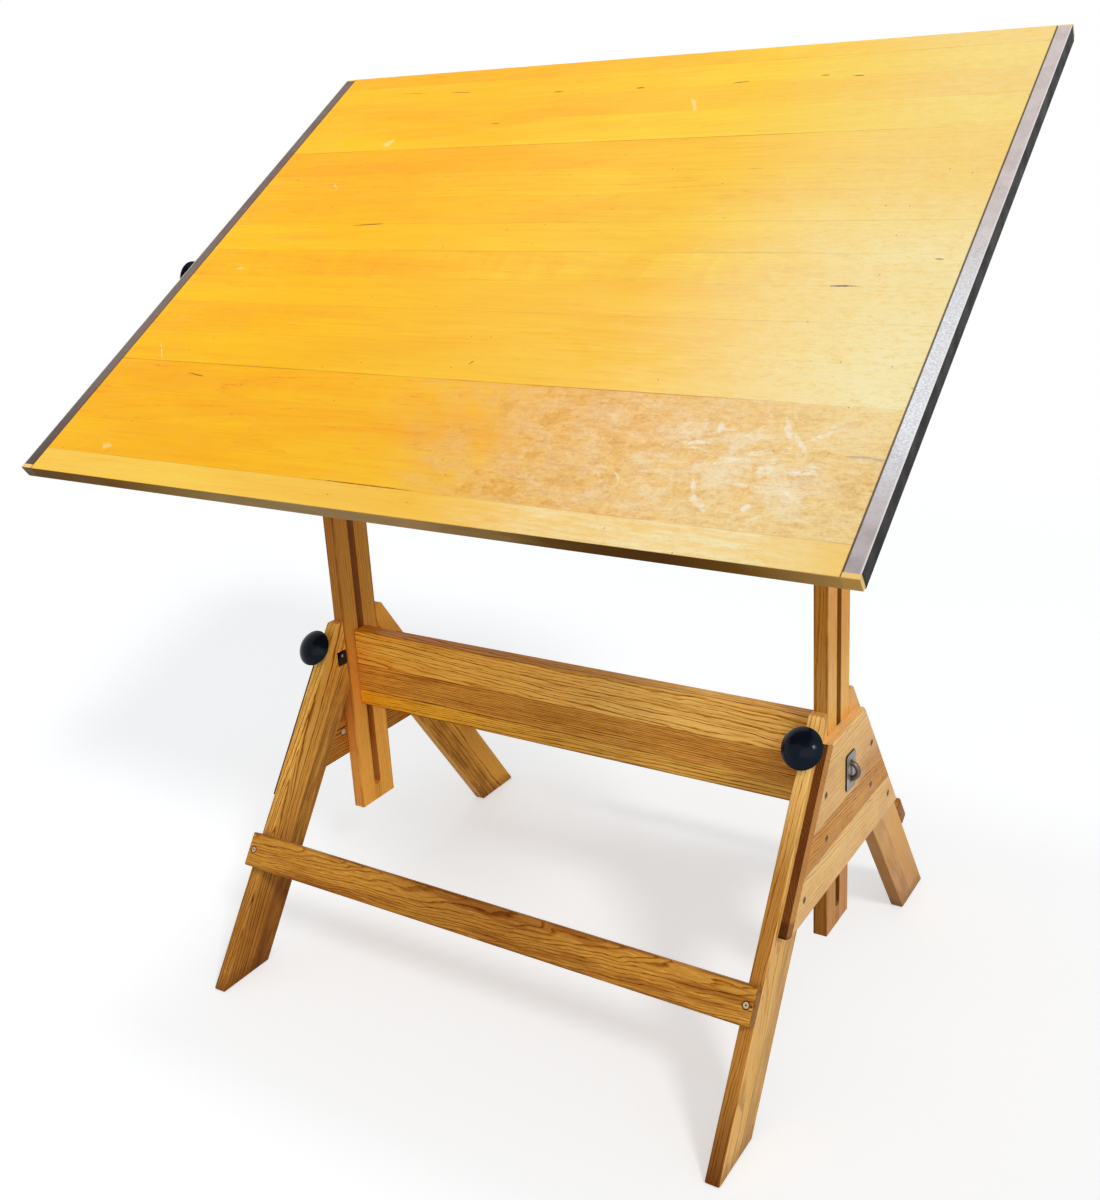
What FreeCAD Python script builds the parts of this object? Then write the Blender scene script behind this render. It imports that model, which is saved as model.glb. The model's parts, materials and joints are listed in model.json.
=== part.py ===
import FreeCAD, Part
import math
import os

# Drafting table: an oak base of two leaning leg pairs, two slotted masts that slide up and down in it, and a
# tilting top of glued strips.  Millimetres, Z up, X to the user's right, Y away from the user.
# While it is drawn, x = 0 is midway between the masts, y = 0 is the masts' middle and z = 0 is the floor.

Vec = FreeCAD.Vector

# ---- Clearances ----
SCREW_FIT = 0.05           # round pieces seated in a hole of the same assembly, on the radius
RUNNING_FIT = 0.08         # shafts that turn or slide in a bore, on the radius
ROD_CLEARANCE = 0.5        # rods that pass through without bearing, on the radius
FACE_GAP = 0.3             # flat faces that slide or press on one another
MAST_SIDE_GAP = 0.5        # mast to leg ends, and mast to rail end

# ---- Base: legs ----
FRAME_WIDTH = 854.0        # over the outer faces of the legs
LEG_THICKNESS = 20.6
LEG_WIDTH = 79.4           # across the leaning leg
LEG_LEAN = 34.4            # degrees from the vertical
LEG_HEIGHT = 483.0
LEG_END_LENGTH = 117.3     # upright cut at the top of the leg, beside the mast
LEG_EASE = 2.5

# ---- Base: side panels, boards from the bottom up ----
PANEL_THICKNESS = 16.0
PANEL_BELOW_LEG_TOP = 33.0 # leg top to the panel's top edge
PANEL_BOARDS = (("lower", 61.0), ("middle", 46.0), ("upper", 100.0))
PANEL_SETBACK = 14.0       # level distance from the leg's outer edge to the panel's edge
PANEL_BEVEL = 5.0
PANEL_BOTTOM_EASE = 3.0
PANEL_SCREWS = ((31.0, -7.0), (81.0, 34.0), (145.0, -12.0))  # above panel bottom, inward of leg middle
PANEL_SCREW_LENGTH = 32.0

# ---- Base: wide rail, boards from the bottom up ----
RAIL_THICKNESS = 27.0
RAIL_BACK = 8.5            # rear face behind the masts' middle
RAIL_BELOW_LEG_TOP = 23.0  # leg top to the rail's top edge
RAIL_BOARDS = (("lower", 26.0), ("middle", 48.0), ("upper", 58.0))
RAIL_EASE = 2.0

# ---- Base: stretchers ----
STRETCHER_THICKNESS = 19.0
STRETCHER_HEIGHT = 50.7
STRETCHER_START = 190.3    # from the floor to its lower edge, along the leg
STRETCHER_EASE = 2.5
STRETCHER_SCREW_LENGTH = 36.0

# ---- Base: tie loops through panel, mast slot and rail end ----
TIE_ABOVE_RAIL_BOTTOM = 57.0
TIE_ROD = 7.5
TIE_SPREAD = 24.0          # between the two shanks of the loop
TIE_REACH = 16.0           # how far the loop stands out from the panel
TIE_PLATE = (2.5, 33.0, 53.0)
TIE_PLATE_CORNER = 5.0
TIE_NUT = (6.5, 13.0, 13.0)
TIE_NUT_INSET = 28.0       # rail end to nut
TIE_SHANK_PAST_NUT = 2.0
NUT_POCKET_PLAY = 1.5
NUT_POCKET_LENGTH = 14.0

# ---- Base: guide studs ----
STUD_HEAD = 10.4
STUD_SHANK = 7.0
STUD_HEAD_LENGTH = 2.4
STUD_REACH = 2.4           # from the panel's inner face
STUD_SEAT = 8.0            # depth of its hole in the panel
STUD_ABOVE_PANEL_BOTTOM = 42.0
STUD_BEFORE_MAST = 7.1     # centre to the mast's front edge

# ---- Wood screws ----
SCREW_SHANK = 4.0
SCREW_HEAD = 8.0
SCREW_HEAD_DEPTH = 3.0
SCREW_RECESS = (2.4, 1.2)  # square drive: across, deep

# ---- Height clamps ----
CLAMP_BELOW_LEG_TOP = 39.0 # leg top to where the rod's axis meets the leg's outer edge
CLAMP_ROD = 9.5
BUSHING_DIAMETER = 14.0
BUSHING_LENGTH = 18.0
BUSHING_FLANGE = (18.0, 1.5)
NOTCH_HEIGHT = 25.0
NOTCH_DEPTH = 22.3
SHOE_HEIGHT = 20.0
SHOE_DEPTH = 19.5
SHOE_SIDE_GAP = 0.6
SHOE_EASE = 1.0
SHOE_SHOULDER = 32.0       # leg's outer edge to the shoe's slanted back, along the rod
SPIGOT = (7.0, 10.0)       # diameter and length of the rod's end inside the shoe
SPIGOT_GROOVE = (3.6, 3.2, 3.2)   # core diameter, start from the shoulder, width
SHOE_SCREW = (2.4, 4.6, 14.0)     # shank, head, length
SHOE_SCREW_HEAD_DEPTH = 1.6

# ---- Knobs ----
KNOB_DIAMETER = 57.15
KNOB_HEIGHT = 33.0
KNOB_HUB = 22.0
KNOB_HUB_LENGTH = 11.0
KNOB_RIM_HEIGHT = 18.5
KNOB_BORE_DEPTH = 24.0
KNOB_STAND_OFF = 5.0       # leg to the knob's hub, clamped

# ---- Masts ----
MAST_THICKNESS = 20.0
MAST_DEPTH = 79.8
MAST_BELOW_PIVOT = 878.0   # pivot to the mast's lower end
PIVOT_ABOVE_LEG_TOP = 539.0   # with the table set as drawn
SLOT_SIDE_PLAY = 3.75      # slot wall to loop shank
SLOT_ABOVE_MAST_BOTTOM = 27.0
SLOT_BELOW_PIVOT = 122.0
MAST_EASE = 1.5

# ---- Top, measured in its own plane from the front edge ----
TOP_TILT = 34.0            # degrees from level
TOP_WIDTH = 1219.2
TOP_THICKNESS = 19.0
STRIP_WIDTHS = (39.5, 62.5, 59.0, 58.5, 62.5, 62.5, 60.0, 58.5,
                60.0, 60.0, 59.0, 61.0, 66.5, 55.0, 55.5, 34.4)
BATTEN_WIDTH = 19.0
TOP_EASE = 1.5             # front and back edges of the top
CAP_THICKNESS = 1.2
CAP_SIDE = 22.0
CAP_SHORT_FRONT = 6.5
CAP_SHORT_BACK = 4.0
PIVOT_FROM_FRONT = 468.0
MAST_HEAD_CLEARANCE = 7.1  # mast head to underside of the top

# ---- Bearers under the top ----
BEARER_THICKNESS = 20.6
BEARER_END_HEIGHT = 19.0
BEARER_INSET = 16.0        # from the top's front and back edges
BEARER_HUB_RADIUS = 22.0   # below the pivot
BEARER_SWELL = 150.0       # from the pivot to where the bearer starts to deepen
BEARER_MAST_GAP = 0.5
BEARER_SCREWS = (34.0, 134.0, 234.0)   # from each end of the bearer
BEARER_SCREW_BITE = 12.0   # into the top

# ---- Tilt rod and its lock ----
TILT_ROD = 9.5
TUBE_DIAMETER = 19.0
SLEEVE_LENGTH = 222.0
ROD_NUT = (14.3, 8.0)      # across flats, length
ROD_PAST_NUT = 3.0

# ---- Worked out from the sizes above ----
LEAN = math.radians(LEG_LEAN)
ALONG_LEG = Vec(0, math.sin(LEAN), math.cos(LEAN))      # up the front leg
OUT_OF_LEG = Vec(0, -math.cos(LEAN), math.sin(LEAN))    # square off its outer edge

LEG_OUTER_X = FRAME_WIDTH / 2
LEG_INNER_X = LEG_OUTER_X - LEG_THICKNESS
LEG_MIDDLE_X = LEG_OUTER_X - LEG_THICKNESS / 2
MAST_OUTER_X = LEG_OUTER_X - FACE_GAP
MAST_INNER_X = MAST_OUTER_X - MAST_THICKNESS
RAIL_END_X = MAST_INNER_X - MAST_SIDE_GAP
PANEL_OUTER_X = LEG_OUTER_X + PANEL_THICKNESS

MAST_FRONT_Y = -MAST_DEPTH / 2
LEG_END_Y = MAST_FRONT_Y - MAST_SIDE_GAP
LEG_FOOT_BACK_Y = LEG_END_Y - (LEG_HEIGHT - LEG_END_LENGTH) * math.tan(LEAN)
LEG_FOOT_FRONT_Y = LEG_FOOT_BACK_Y - LEG_WIDTH / math.cos(LEAN)

PANEL_HEIGHT = sum(width for name, width in PANEL_BOARDS)
PANEL_BOTTOM = LEG_HEIGHT - PANEL_BELOW_LEG_TOP - PANEL_HEIGHT
RAIL_HEIGHT = sum(width for name, width in RAIL_BOARDS)
RAIL_BOTTOM = LEG_HEIGHT - RAIL_BELOW_LEG_TOP - RAIL_HEIGHT
CLAMP_HEIGHT = LEG_HEIGHT - CLAMP_BELOW_LEG_TOP
PIVOT_HEIGHT = LEG_HEIGHT + PIVOT_ABOVE_LEG_TOP
MAST_BOTTOM = PIVOT_HEIGHT - MAST_BELOW_PIVOT
TIE_HEIGHT = RAIL_BOTTOM + TIE_ABOVE_RAIL_BOTTOM
TIE_SHANK_HEIGHTS = (TIE_HEIGHT - TIE_SPREAD / 2, TIE_HEIGHT + TIE_SPREAD / 2)

TOP_DEPTH = sum(STRIP_WIDTHS)
PIVOT_BELOW_SURFACE = TOP_THICKNESS + MAST_DEPTH / 2 + MAST_HEAD_CLEARANCE
BEARER_INNER_X = MAST_OUTER_X + BEARER_MAST_GAP
BEARER_OUTER_X = BEARER_INNER_X + BEARER_THICKNESS
SLEEVE_END_X = BEARER_OUTER_X + FACE_GAP + SLEEVE_LENGTH

RIGHT, UP = Vec(1, 0, 0), Vec(0, 0, 1)
parts = {}


# ---- Helpers ----
def leg_edge_y(z):
    """The front leg's outer edge at height z."""
    return LEG_FOOT_FRONT_Y + z * math.tan(LEAN)


def side_prism(outline, x_start, x_end):
    """A plate cut to a (y, z) outline, from x_start to x_end."""
    corners = [Vec(x_start, y, z) for y, z in outline]
    face = Part.Face(Part.makePolygon(corners + corners[:1]))
    return face.extrude(Vec(x_end - x_start, 0, 0))


def block(x_range, y_range, z_range):
    """A rectangular block between three pairs of limits."""
    lows = Vec(min(x_range), min(y_range), min(z_range))
    highs = Vec(max(x_range), max(y_range), max(z_range))
    size = highs - lows
    return Part.makeBox(size.x, size.y, size.z, lows)


def ease(shape, radius, wanted=None):
    """Round over the edges that wanted() picks, or all of them."""
    edges = [edge for edge in shape.Edges if wanted is None or wanted(edge)]
    return shape.makeFillet(radius, edges)


def rod(start, direction, length, diameter):
    return Part.makeCylinder(diameter / 2, length, start, direction)


def ring(start, direction, length, outer, bore):
    """A tube or bush: a cylinder with a bore all the way through."""
    solid = rod(start, direction, length, outer)
    return solid.cut(rod(start - direction, direction, length + 2, bore))


def turned(outline, start, direction):
    """A turned solid: (radius, distance) outline spun about the axis through start."""
    edges = []
    for first, second in zip(outline, outline[1:] + outline[:1]):
        begin, finish = [Vec(p[0], 0, p[1]) for p in (first, second)]
        if len(second) == 3:                      # a point with a mid point ends an arc
            middle = Vec(second[2][0], 0, second[2][1])
            edges.append(Part.Arc(begin, middle, finish).toShape())
        else:
            edges.append(Part.LineSegment(begin, finish).toShape())
    solid = Part.Face(Part.Wire(edges)).revolve(Vec(0, 0, 0), UP, 360)
    solid.Placement = FreeCAD.Placement(start, FreeCAD.Rotation(UP, direction))
    return solid


def crown_middle(radius, edge, top):
    """The half-way point of a round crown that rises from (radius, edge) to the axis at top."""
    rise = top - edge
    sphere = (radius ** 2 + rise ** 2) / (2 * rise)
    half_angle = math.atan2(radius, sphere - rise) / 2
    return sphere * math.sin(half_angle), top - sphere + sphere * math.cos(half_angle)


def mirror_x(shape):
    return shape.mirror(Vec(0, 0, 0), Vec(1, 0, 0))


def mirror_y(shape):
    return shape.mirror(Vec(0, 0, 0), Vec(0, 1, 0))


def wood_screw(head_top, direction, length, clearance=0.0):
    """A countersunk screw whose head lies flush at head_top; with a clearance it is the hole for it."""
    head, shank = SCREW_HEAD / 2 + clearance, SCREW_SHANK / 2 + clearance
    tip = length + clearance
    outline = [(0, 0), (head, 0), (shank, SCREW_HEAD_DEPTH), (shank, tip - shank), (0, tip)]
    screw = turned(outline, head_top, direction)
    if clearance:
        return screw
    across, deep = SCREW_RECESS
    recess = Part.makeBox(across, across, 2 * deep, Vec(-across / 2, -across / 2, -deep))
    recess.Placement = FreeCAD.Placement(head_top, FreeCAD.Rotation(UP, direction))
    return screw.cut(recess)


def cut_all(shape, tools):
    for tool in tools:
        shape = shape.cut(tool)
    return shape


def stacked(boards, bottom):
    """Yield name, low and high for boards glued edge to edge from the bottom up."""
    for name, width in boards:
        yield name, bottom, bottom + width
        bottom += width


def make_knob(hub_start, direction):
    """A mushroom knob with a blind bore; direction points out of its crown."""
    hub, rim, bore = KNOB_HUB / 2, KNOB_DIAMETER / 2, CLAMP_ROD / 2 + SCREW_FIT
    neck = hub * 0.86
    rim_edge = 1.6
    outline = [
        (0, KNOB_BORE_DEPTH), (bore, KNOB_BORE_DEPTH), (bore, 0), (hub, 0),
        (neck, KNOB_HUB_LENGTH, ((hub + neck) / 2 - 0.6, KNOB_HUB_LENGTH * 0.55)),
        (rim - rim_edge, KNOB_RIM_HEIGHT - rim_edge, ((rim + neck) / 2 + 1.0, KNOB_RIM_HEIGHT - 3.6)),
        (rim, KNOB_RIM_HEIGHT, (rim - 0.5, KNOB_RIM_HEIGHT - 1.1)),
        (0, KNOB_HEIGHT, crown_middle(rim, KNOB_RIM_HEIGHT, KNOB_HEIGHT)),
    ]
    return turned(outline, hub_start, direction)


# ---- Screw places, right-hand side; the left is its mirror ----
def panel_screw_tools(clearance):
    tools = []
    for height, inward in PANEL_SCREWS:
        z = PANEL_BOTTOM + height
        y = leg_edge_y(z) + LEG_WIDTH / math.cos(LEAN) / 2 + inward
        screw = wood_screw(Vec(PANEL_OUTER_X, y, z), -RIGHT, PANEL_SCREW_LENGTH, clearance)
        tools += [screw, mirror_y(screw)]
    return tools


STRETCHER_FOOT = Vec(0, LEG_FOOT_FRONT_Y, 0) + ALONG_LEG * STRETCHER_START


def stretcher_screw(clearance):
    """The screw through the right-hand end of the front stretcher."""
    place = STRETCHER_FOOT + ALONG_LEG * (STRETCHER_HEIGHT / 2) + OUT_OF_LEG * STRETCHER_THICKNESS
    return wood_screw(place + RIGHT * LEG_MIDDLE_X, -OUT_OF_LEG, STRETCHER_SCREW_LENGTH, clearance)


# ---- Height clamp places, right-hand side ----
CLAMP_FACE = Vec(LEG_MIDDLE_X, leg_edge_y(CLAMP_HEIGHT), CLAMP_HEIGHT)


def on_clamp_axis(outward):
    return CLAMP_FACE + OUT_OF_LEG * outward


NOTCH_MIDDLE_Y = LEG_END_Y - NOTCH_DEPTH / 2
NOTCH_MIDDLE_Z = CLAMP_HEIGHT + (CLAMP_FACE.y - NOTCH_MIDDLE_Y) * math.tan(LEAN)
NOTCH_BOTTOM = NOTCH_MIDDLE_Z - NOTCH_HEIGHT / 2


def make_front_leg():
    """The right front leg, with its notch, bushing seat, rod hole and screw holes."""
    leg = side_prism([(LEG_FOOT_FRONT_Y, 0), (LEG_FOOT_BACK_Y, 0),
                      (LEG_END_Y, LEG_HEIGHT - LEG_END_LENGTH), (LEG_END_Y, LEG_HEIGHT),
                      (leg_edge_y(LEG_HEIGHT), LEG_HEIGHT)], LEG_INNER_X, LEG_OUTER_X)
    leg = ease(leg, LEG_EASE)
    plain_leg = cut_all(leg, panel_screw_tools(SCREW_FIT) + [stretcher_screw(SCREW_FIT)])
    notch = block((LEG_INNER_X - 1, LEG_OUTER_X + 1), (LEG_END_Y - NOTCH_DEPTH, LEG_END_Y + 1),
                  (NOTCH_BOTTOM, NOTCH_BOTTOM + NOTCH_HEIGHT))
    flange, flange_length = BUSHING_FLANGE
    seat = rod(on_clamp_axis(1), -OUT_OF_LEG, BUSHING_LENGTH + 1, BUSHING_DIAMETER + 2 * SCREW_FIT)
    flange_seat = rod(on_clamp_axis(1), -OUT_OF_LEG, flange_length + 1, flange + 2 * SCREW_FIT)
    passage = rod(on_clamp_axis(1), -OUT_OF_LEG, SHOE_SHOULDER, CLAMP_ROD + 2 * ROD_CLEARANCE)
    return cut_all(plain_leg, [notch, seat, flange_seat, passage]), plain_leg


def make_panel_boards():
    """The right side panel's three boards: trapezium outline, bevelled outer edges."""
    holes = panel_screw_tools(SCREW_FIT) + [make_tie_loop(SCREW_FIT), guide_stud(SCREW_FIT)]
    whole = side_prism([(panel_edge_y(z) * side, z) for z, side in
                        ((PANEL_BOTTOM, 1), (PANEL_BOTTOM, -1),
                         (PANEL_BOTTOM + PANEL_HEIGHT, -1), (PANEL_BOTTOM + PANEL_HEIGHT, 1))],
                       LEG_OUTER_X, PANEL_OUTER_X)

    def on_outer_face(edge):
        return all(abs(vertex.X - PANEL_OUTER_X) < 1e-6 for vertex in edge.Vertexes)

    def slanted(edge):
        heights = [vertex.Z for vertex in edge.Vertexes]
        return on_outer_face(edge) and abs(heights[0] - heights[1]) > 1

    whole = whole.makeChamfer(PANEL_BEVEL, [edge for edge in whole.Edges if slanted(edge)])
    level = [edge for edge in whole.Edges if on_outer_face(edge) and not slanted(edge)]
    whole = whole.makeFillet(PANEL_BOTTOM_EASE, level)
    for name, low, high in stacked(PANEL_BOARDS, PANEL_BOTTOM):
        reach = abs(panel_edge_y(PANEL_BOTTOM)) + 1
        slab = block((LEG_OUTER_X - 1, PANEL_OUTER_X + 1), (-reach, reach), (low, high))
        yield name, cut_all(whole.common(slab), holes)


def panel_edge_y(z):
    return leg_edge_y(z) + PANEL_SETBACK


def guide_stud(clearance=0.0):
    """The round-headed stud on the right panel's inner face; with a clearance it is the hole."""
    y = MAST_FRONT_Y - STUD_BEFORE_MAST
    seat = Vec(LEG_OUTER_X + STUD_SEAT + clearance, y, PANEL_BOTTOM + STUD_ABOVE_PANEL_BOTTOM)
    shank = STUD_SHANK / 2 + clearance
    head, crown = STUD_HEAD / 2 + clearance, STUD_SEAT + STUD_REACH
    under_head = crown - STUD_HEAD_LENGTH
    crown_edge = under_head + STUD_HEAD_LENGTH * 0.3
    return turned([(0, 0), (shank, 0), (shank, under_head), (head, under_head), (head, crown_edge),
                   (0, crown, crown_middle(head, crown_edge, crown))], seat, -RIGHT)


def make_rail_boards():
    """The wide rail's three boards, with holes and pockets for the tie loops at both ends."""
    whole = block((-RAIL_END_X, RAIL_END_X), (RAIL_BACK - RAIL_THICKNESS, RAIL_BACK),
                  (RAIL_BOTTOM, RAIL_BOTTOM + RAIL_HEIGHT))
    whole = ease(whole, RAIL_EASE)
    nut_long, nut_wide, nut_high = TIE_NUT
    nut_x = RAIL_END_X - TIE_NUT_INSET
    play = nut_wide / 2 + NUT_POCKET_PLAY
    pocket = block((nut_x - NUT_POCKET_LENGTH, nut_x), (-play, RAIL_BACK + 1),
                   (TIE_SHANK_HEIGHTS[0] - play, TIE_SHANK_HEIGHTS[1] + play))
    tools = [pocket, make_tie_loop(SCREW_FIT)]
    tools += [mirror_x(tool) for tool in tools]
    for name, low, high in stacked(RAIL_BOARDS, RAIL_BOTTOM):
        slab = block((-RAIL_END_X - 1, RAIL_END_X + 1), (RAIL_BACK - RAIL_THICKNESS - 1, RAIL_BACK + 1),
                     (low, high))
        yield name, cut_all(whole.common(slab), tools)


def make_tie_loop(clearance=0.0):
    """The right-hand loop: a half ring outside the panel and two shanks into the rail's nuts."""
    radius = TIE_SPREAD / 2
    bend_x = PANEL_OUTER_X + TIE_REACH - TIE_ROD / 2 - radius
    end_x = RAIL_END_X - TIE_NUT_INSET - TIE_NUT[0] - TIE_SHANK_PAST_NUT
    low, high = TIE_SHANK_HEIGHTS
    path = Part.Wire([
        Part.LineSegment(Vec(end_x, 0, high), Vec(bend_x, 0, high)).toShape(),
        Part.Arc(Vec(bend_x, 0, high), Vec(bend_x + radius, 0, TIE_HEIGHT), Vec(bend_x, 0, low)).toShape(),
        Part.LineSegment(Vec(bend_x, 0, low), Vec(end_x, 0, low)).toShape()])
    section = Part.Wire(Part.makeCircle(TIE_ROD / 2 + clearance, Vec(end_x, 0, high), RIGHT))
    return path.makePipeShell([section], True, True)


def make_tie_plate():
    thick, wide, high = TIE_PLATE
    plate = block((PANEL_OUTER_X, PANEL_OUTER_X + thick), (-wide / 2, wide / 2),
                  (TIE_HEIGHT - high / 2, TIE_HEIGHT + high / 2))
    corners = [edge for edge in plate.Edges
               if abs(edge.Vertexes[0].X - edge.Vertexes[-1].X) > thick / 2]
    plate = plate.makeFillet(TIE_PLATE_CORNER, corners)
    return plate.cut(make_tie_loop(SCREW_FIT))


def make_tie_nuts():
    """The two square nuts on the right-hand loop's shanks."""
    long, wide, high = TIE_NUT
    nut_x = RAIL_END_X - TIE_NUT_INSET
    for z in TIE_SHANK_HEIGHTS:
        nut = block((nut_x - long, nut_x), (-wide / 2, wide / 2), (z - high / 2, z + high / 2))
        yield nut.cut(rod(Vec(nut_x - long - 1, 0, z), RIGHT, long + 2, TIE_ROD + 2 * SCREW_FIT))


def make_front_stretcher():
    foot = STRETCHER_FOOT
    corners = [foot, foot + ALONG_LEG * STRETCHER_HEIGHT,
               foot + ALONG_LEG * STRETCHER_HEIGHT + OUT_OF_LEG * STRETCHER_THICKNESS,
               foot + OUT_OF_LEG * STRETCHER_THICKNESS]
    board = side_prism([(p.y, p.z) for p in corners], -LEG_OUTER_X, LEG_OUTER_X)
    hole = stretcher_screw(SCREW_FIT)
    return cut_all(ease(board, STRETCHER_EASE), [hole, mirror_x(hole)])


def make_bushing():
    """The threaded bushing of the right-hand clamp, flush with the leg's outer edge."""
    flange, flange_length = BUSHING_FLANGE
    body = rod(on_clamp_axis(0), -OUT_OF_LEG, BUSHING_LENGTH, BUSHING_DIAMETER)
    body = body.fuse(rod(on_clamp_axis(0), -OUT_OF_LEG, flange_length, flange)).removeSplitter()
    bore = CLAMP_ROD + 2 * RUNNING_FIT
    return body.cut(rod(on_clamp_axis(1), -OUT_OF_LEG, BUSHING_LENGTH + 2, bore))


# ---- Height clamp, right-hand side ----
def shoe_screw_place():
    """Where the shoe's screw crosses the rod's groove, on the shoe's inner face."""
    core, start, width = SPIGOT_GROOVE
    beside = core / 2 + FACE_GAP + SHOE_SCREW[0] / 2
    place = on_clamp_axis(-SHOE_SHOULDER - start - width / 2) + ALONG_LEG * beside
    place.x = LEG_INNER_X + SHOE_SIDE_GAP
    return place


def make_shoe():
    """The pressure shoe: a block in the notch whose slanted back corner takes the rod's shoulder."""
    y_front = MAST_FRONT_Y - FACE_GAP
    z_low = NOTCH_BOTTOM + (NOTCH_HEIGHT - SHOE_HEIGHT) * 0.3
    shoe = block((LEG_INNER_X + SHOE_SIDE_GAP, LEG_OUTER_X - SHOE_SIDE_GAP),
                 (y_front - SHOE_DEPTH, y_front), (z_low, z_low + SHOE_HEIGHT))
    shoe = ease(shoe, SHOE_EASE)
    corner = rod(on_clamp_axis(-SHOE_SHOULDER), OUT_OF_LEG, SHOE_DEPTH, 4 * SHOE_HEIGHT)
    across, long = SPIGOT
    socket = rod(on_clamp_axis(-SHOE_SHOULDER + 1), -OUT_OF_LEG, long + 1 + FACE_GAP,
                 across + 2 * RUNNING_FIT)
    shank, head, length = SHOE_SCREW
    place = shoe_screw_place()
    screw_hole = rod(place - RIGHT, RIGHT, length + 1 + SCREW_FIT, shank + 2 * SCREW_FIT)
    head_hole = rod(place - RIGHT, RIGHT, SHOE_SCREW_HEAD_DEPTH + 1, head + 2 * SCREW_FIT)
    return cut_all(shoe, [corner, socket, screw_hole, head_hole])


def make_shoe_screw():
    shank, head, length = SHOE_SCREW
    place = shoe_screw_place()
    screw = rod(place, RIGHT, length, shank)
    screw = screw.fuse(rod(place, RIGHT, SHOE_SCREW_HEAD_DEPTH, head)).removeSplitter()
    slot = block((place.x - 1, place.x + SHOE_SCREW_HEAD_DEPTH / 2),
                 (place.y - head, place.y + head), (place.z - head * 0.1, place.z + head * 0.1))
    return screw.cut(slot)


def make_clamp_rod():
    """The threaded rod: from inside the knob to the grooved spigot inside the shoe."""
    across, long = SPIGOT
    core, groove_start, groove_width = SPIGOT_GROOVE
    radius, spigot = CLAMP_ROD / 2, across / 2
    total = KNOB_STAND_OFF + KNOB_BORE_DEPTH + SHOE_SHOULDER - FACE_GAP
    outline = [(0, 0), (radius - 0.8, 0), (radius, 0.8), (radius, total), (spigot, total)]
    outline += [(r, total + FACE_GAP + d) for r, d in
                ((spigot, groove_start), (core / 2, groove_start),
                 (core / 2, groove_start + groove_width), (spigot, groove_start + groove_width),
                 (spigot, long - 0.6), (spigot - 0.6, long), (0, long))]
    return turned(outline, on_clamp_axis(KNOB_STAND_OFF + KNOB_BORE_DEPTH), -OUT_OF_LEG)


# ---- Masts ----
def make_mast():
    """The right mast: round head about the pivot, long slot with round ends."""
    half = MAST_DEPTH / 2
    stem = block((MAST_INNER_X, MAST_OUTER_X), (-half, half), (MAST_BOTTOM, PIVOT_HEIGHT))
    head = rod(Vec(MAST_INNER_X, 0, PIVOT_HEIGHT), RIGHT, MAST_THICKNESS, MAST_DEPTH)
    mast = stem.fuse(head).removeSplitter()

    def bottom_end(edge):
        return all(vertex.Z < MAST_BOTTOM + 1 for vertex in edge.Vertexes)

    mast = ease(mast, MAST_EASE, lambda edge: not bottom_end(edge))
    width = TIE_ROD + 2 * SLOT_SIDE_PLAY
    low = MAST_BOTTOM + SLOT_ABOVE_MAST_BOTTOM + width / 2
    high = PIVOT_HEIGHT - SLOT_BELOW_PIVOT - width / 2
    through = MAST_THICKNESS + 2
    slot = block((MAST_INNER_X - 1, MAST_OUTER_X + 1), (-width / 2, width / 2), (low, high))
    for z in (low, high):
        slot = slot.fuse(rod(Vec(MAST_INNER_X - 1, 0, z), RIGHT, through, width))
    pivot_hole = rod(Vec(MAST_INNER_X - 1, 0, PIVOT_HEIGHT), RIGHT, through, TILT_ROD + 2 * RUNNING_FIT)
    return cut_all(mast, [slot.removeSplitter(), pivot_hole])


# ---- Top, drawn level with the pivot at the origin, then tilted and lifted ----
def board_y(from_front):
    return from_front - PIVOT_FROM_FRONT


SURFACE_Z = PIVOT_BELOW_SURFACE
UNDERSIDE_Z = SURFACE_Z - TOP_THICKNESS


def tilted(shape):
    shape = shape.copy()
    shape.rotate(Vec(0, 0, 0), RIGHT, TOP_TILT)
    shape.translate(Vec(0, 0, PIVOT_HEIGHT))
    return shape


def bearer_screw_tools(clearance):
    """Screws up through the right bearer's thin ends into the top."""
    length = BEARER_END_HEIGHT + BEARER_SCREW_BITE
    x = (BEARER_INNER_X + BEARER_OUTER_X) / 2
    for distance in BEARER_SCREWS:
        for from_front in (BEARER_INSET + distance, TOP_DEPTH - BEARER_INSET - distance):
            start = Vec(x, board_y(from_front), UNDERSIDE_Z - BEARER_END_HEIGHT)
            yield wood_screw(start, UP, length, clearance)


def long_edges_at(y):
    """Picks the edges that run from side to side at that y."""
    return lambda edge: all(abs(vertex.Y - y) < 1e-6 for vertex in edge.Vertexes) and (
        abs(edge.Vertexes[0].X - edge.Vertexes[-1].X) > 1)


def make_strips():
    """The top's glued strips from front to back, with blind holes for the bearer screws."""
    reach = TOP_WIDTH / 2 - BATTEN_WIDTH
    holes = list(bearer_screw_tools(SCREW_FIT))
    holes += [mirror_x(hole) for hole in holes]
    front = 0.0
    for number, width in enumerate(STRIP_WIDTHS, start=1):
        strip = block((-reach, reach), (board_y(front), board_y(front + width)), (UNDERSIDE_Z, SURFACE_Z))
        if number == 1:
            strip = ease(strip, TOP_EASE, long_edges_at(board_y(0)))
        if number == len(STRIP_WIDTHS):
            strip = ease(strip, TOP_EASE, long_edges_at(board_y(TOP_DEPTH)))
        yield "plank_%02d" % number, cut_all(strip, holes)
        front += width


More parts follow.
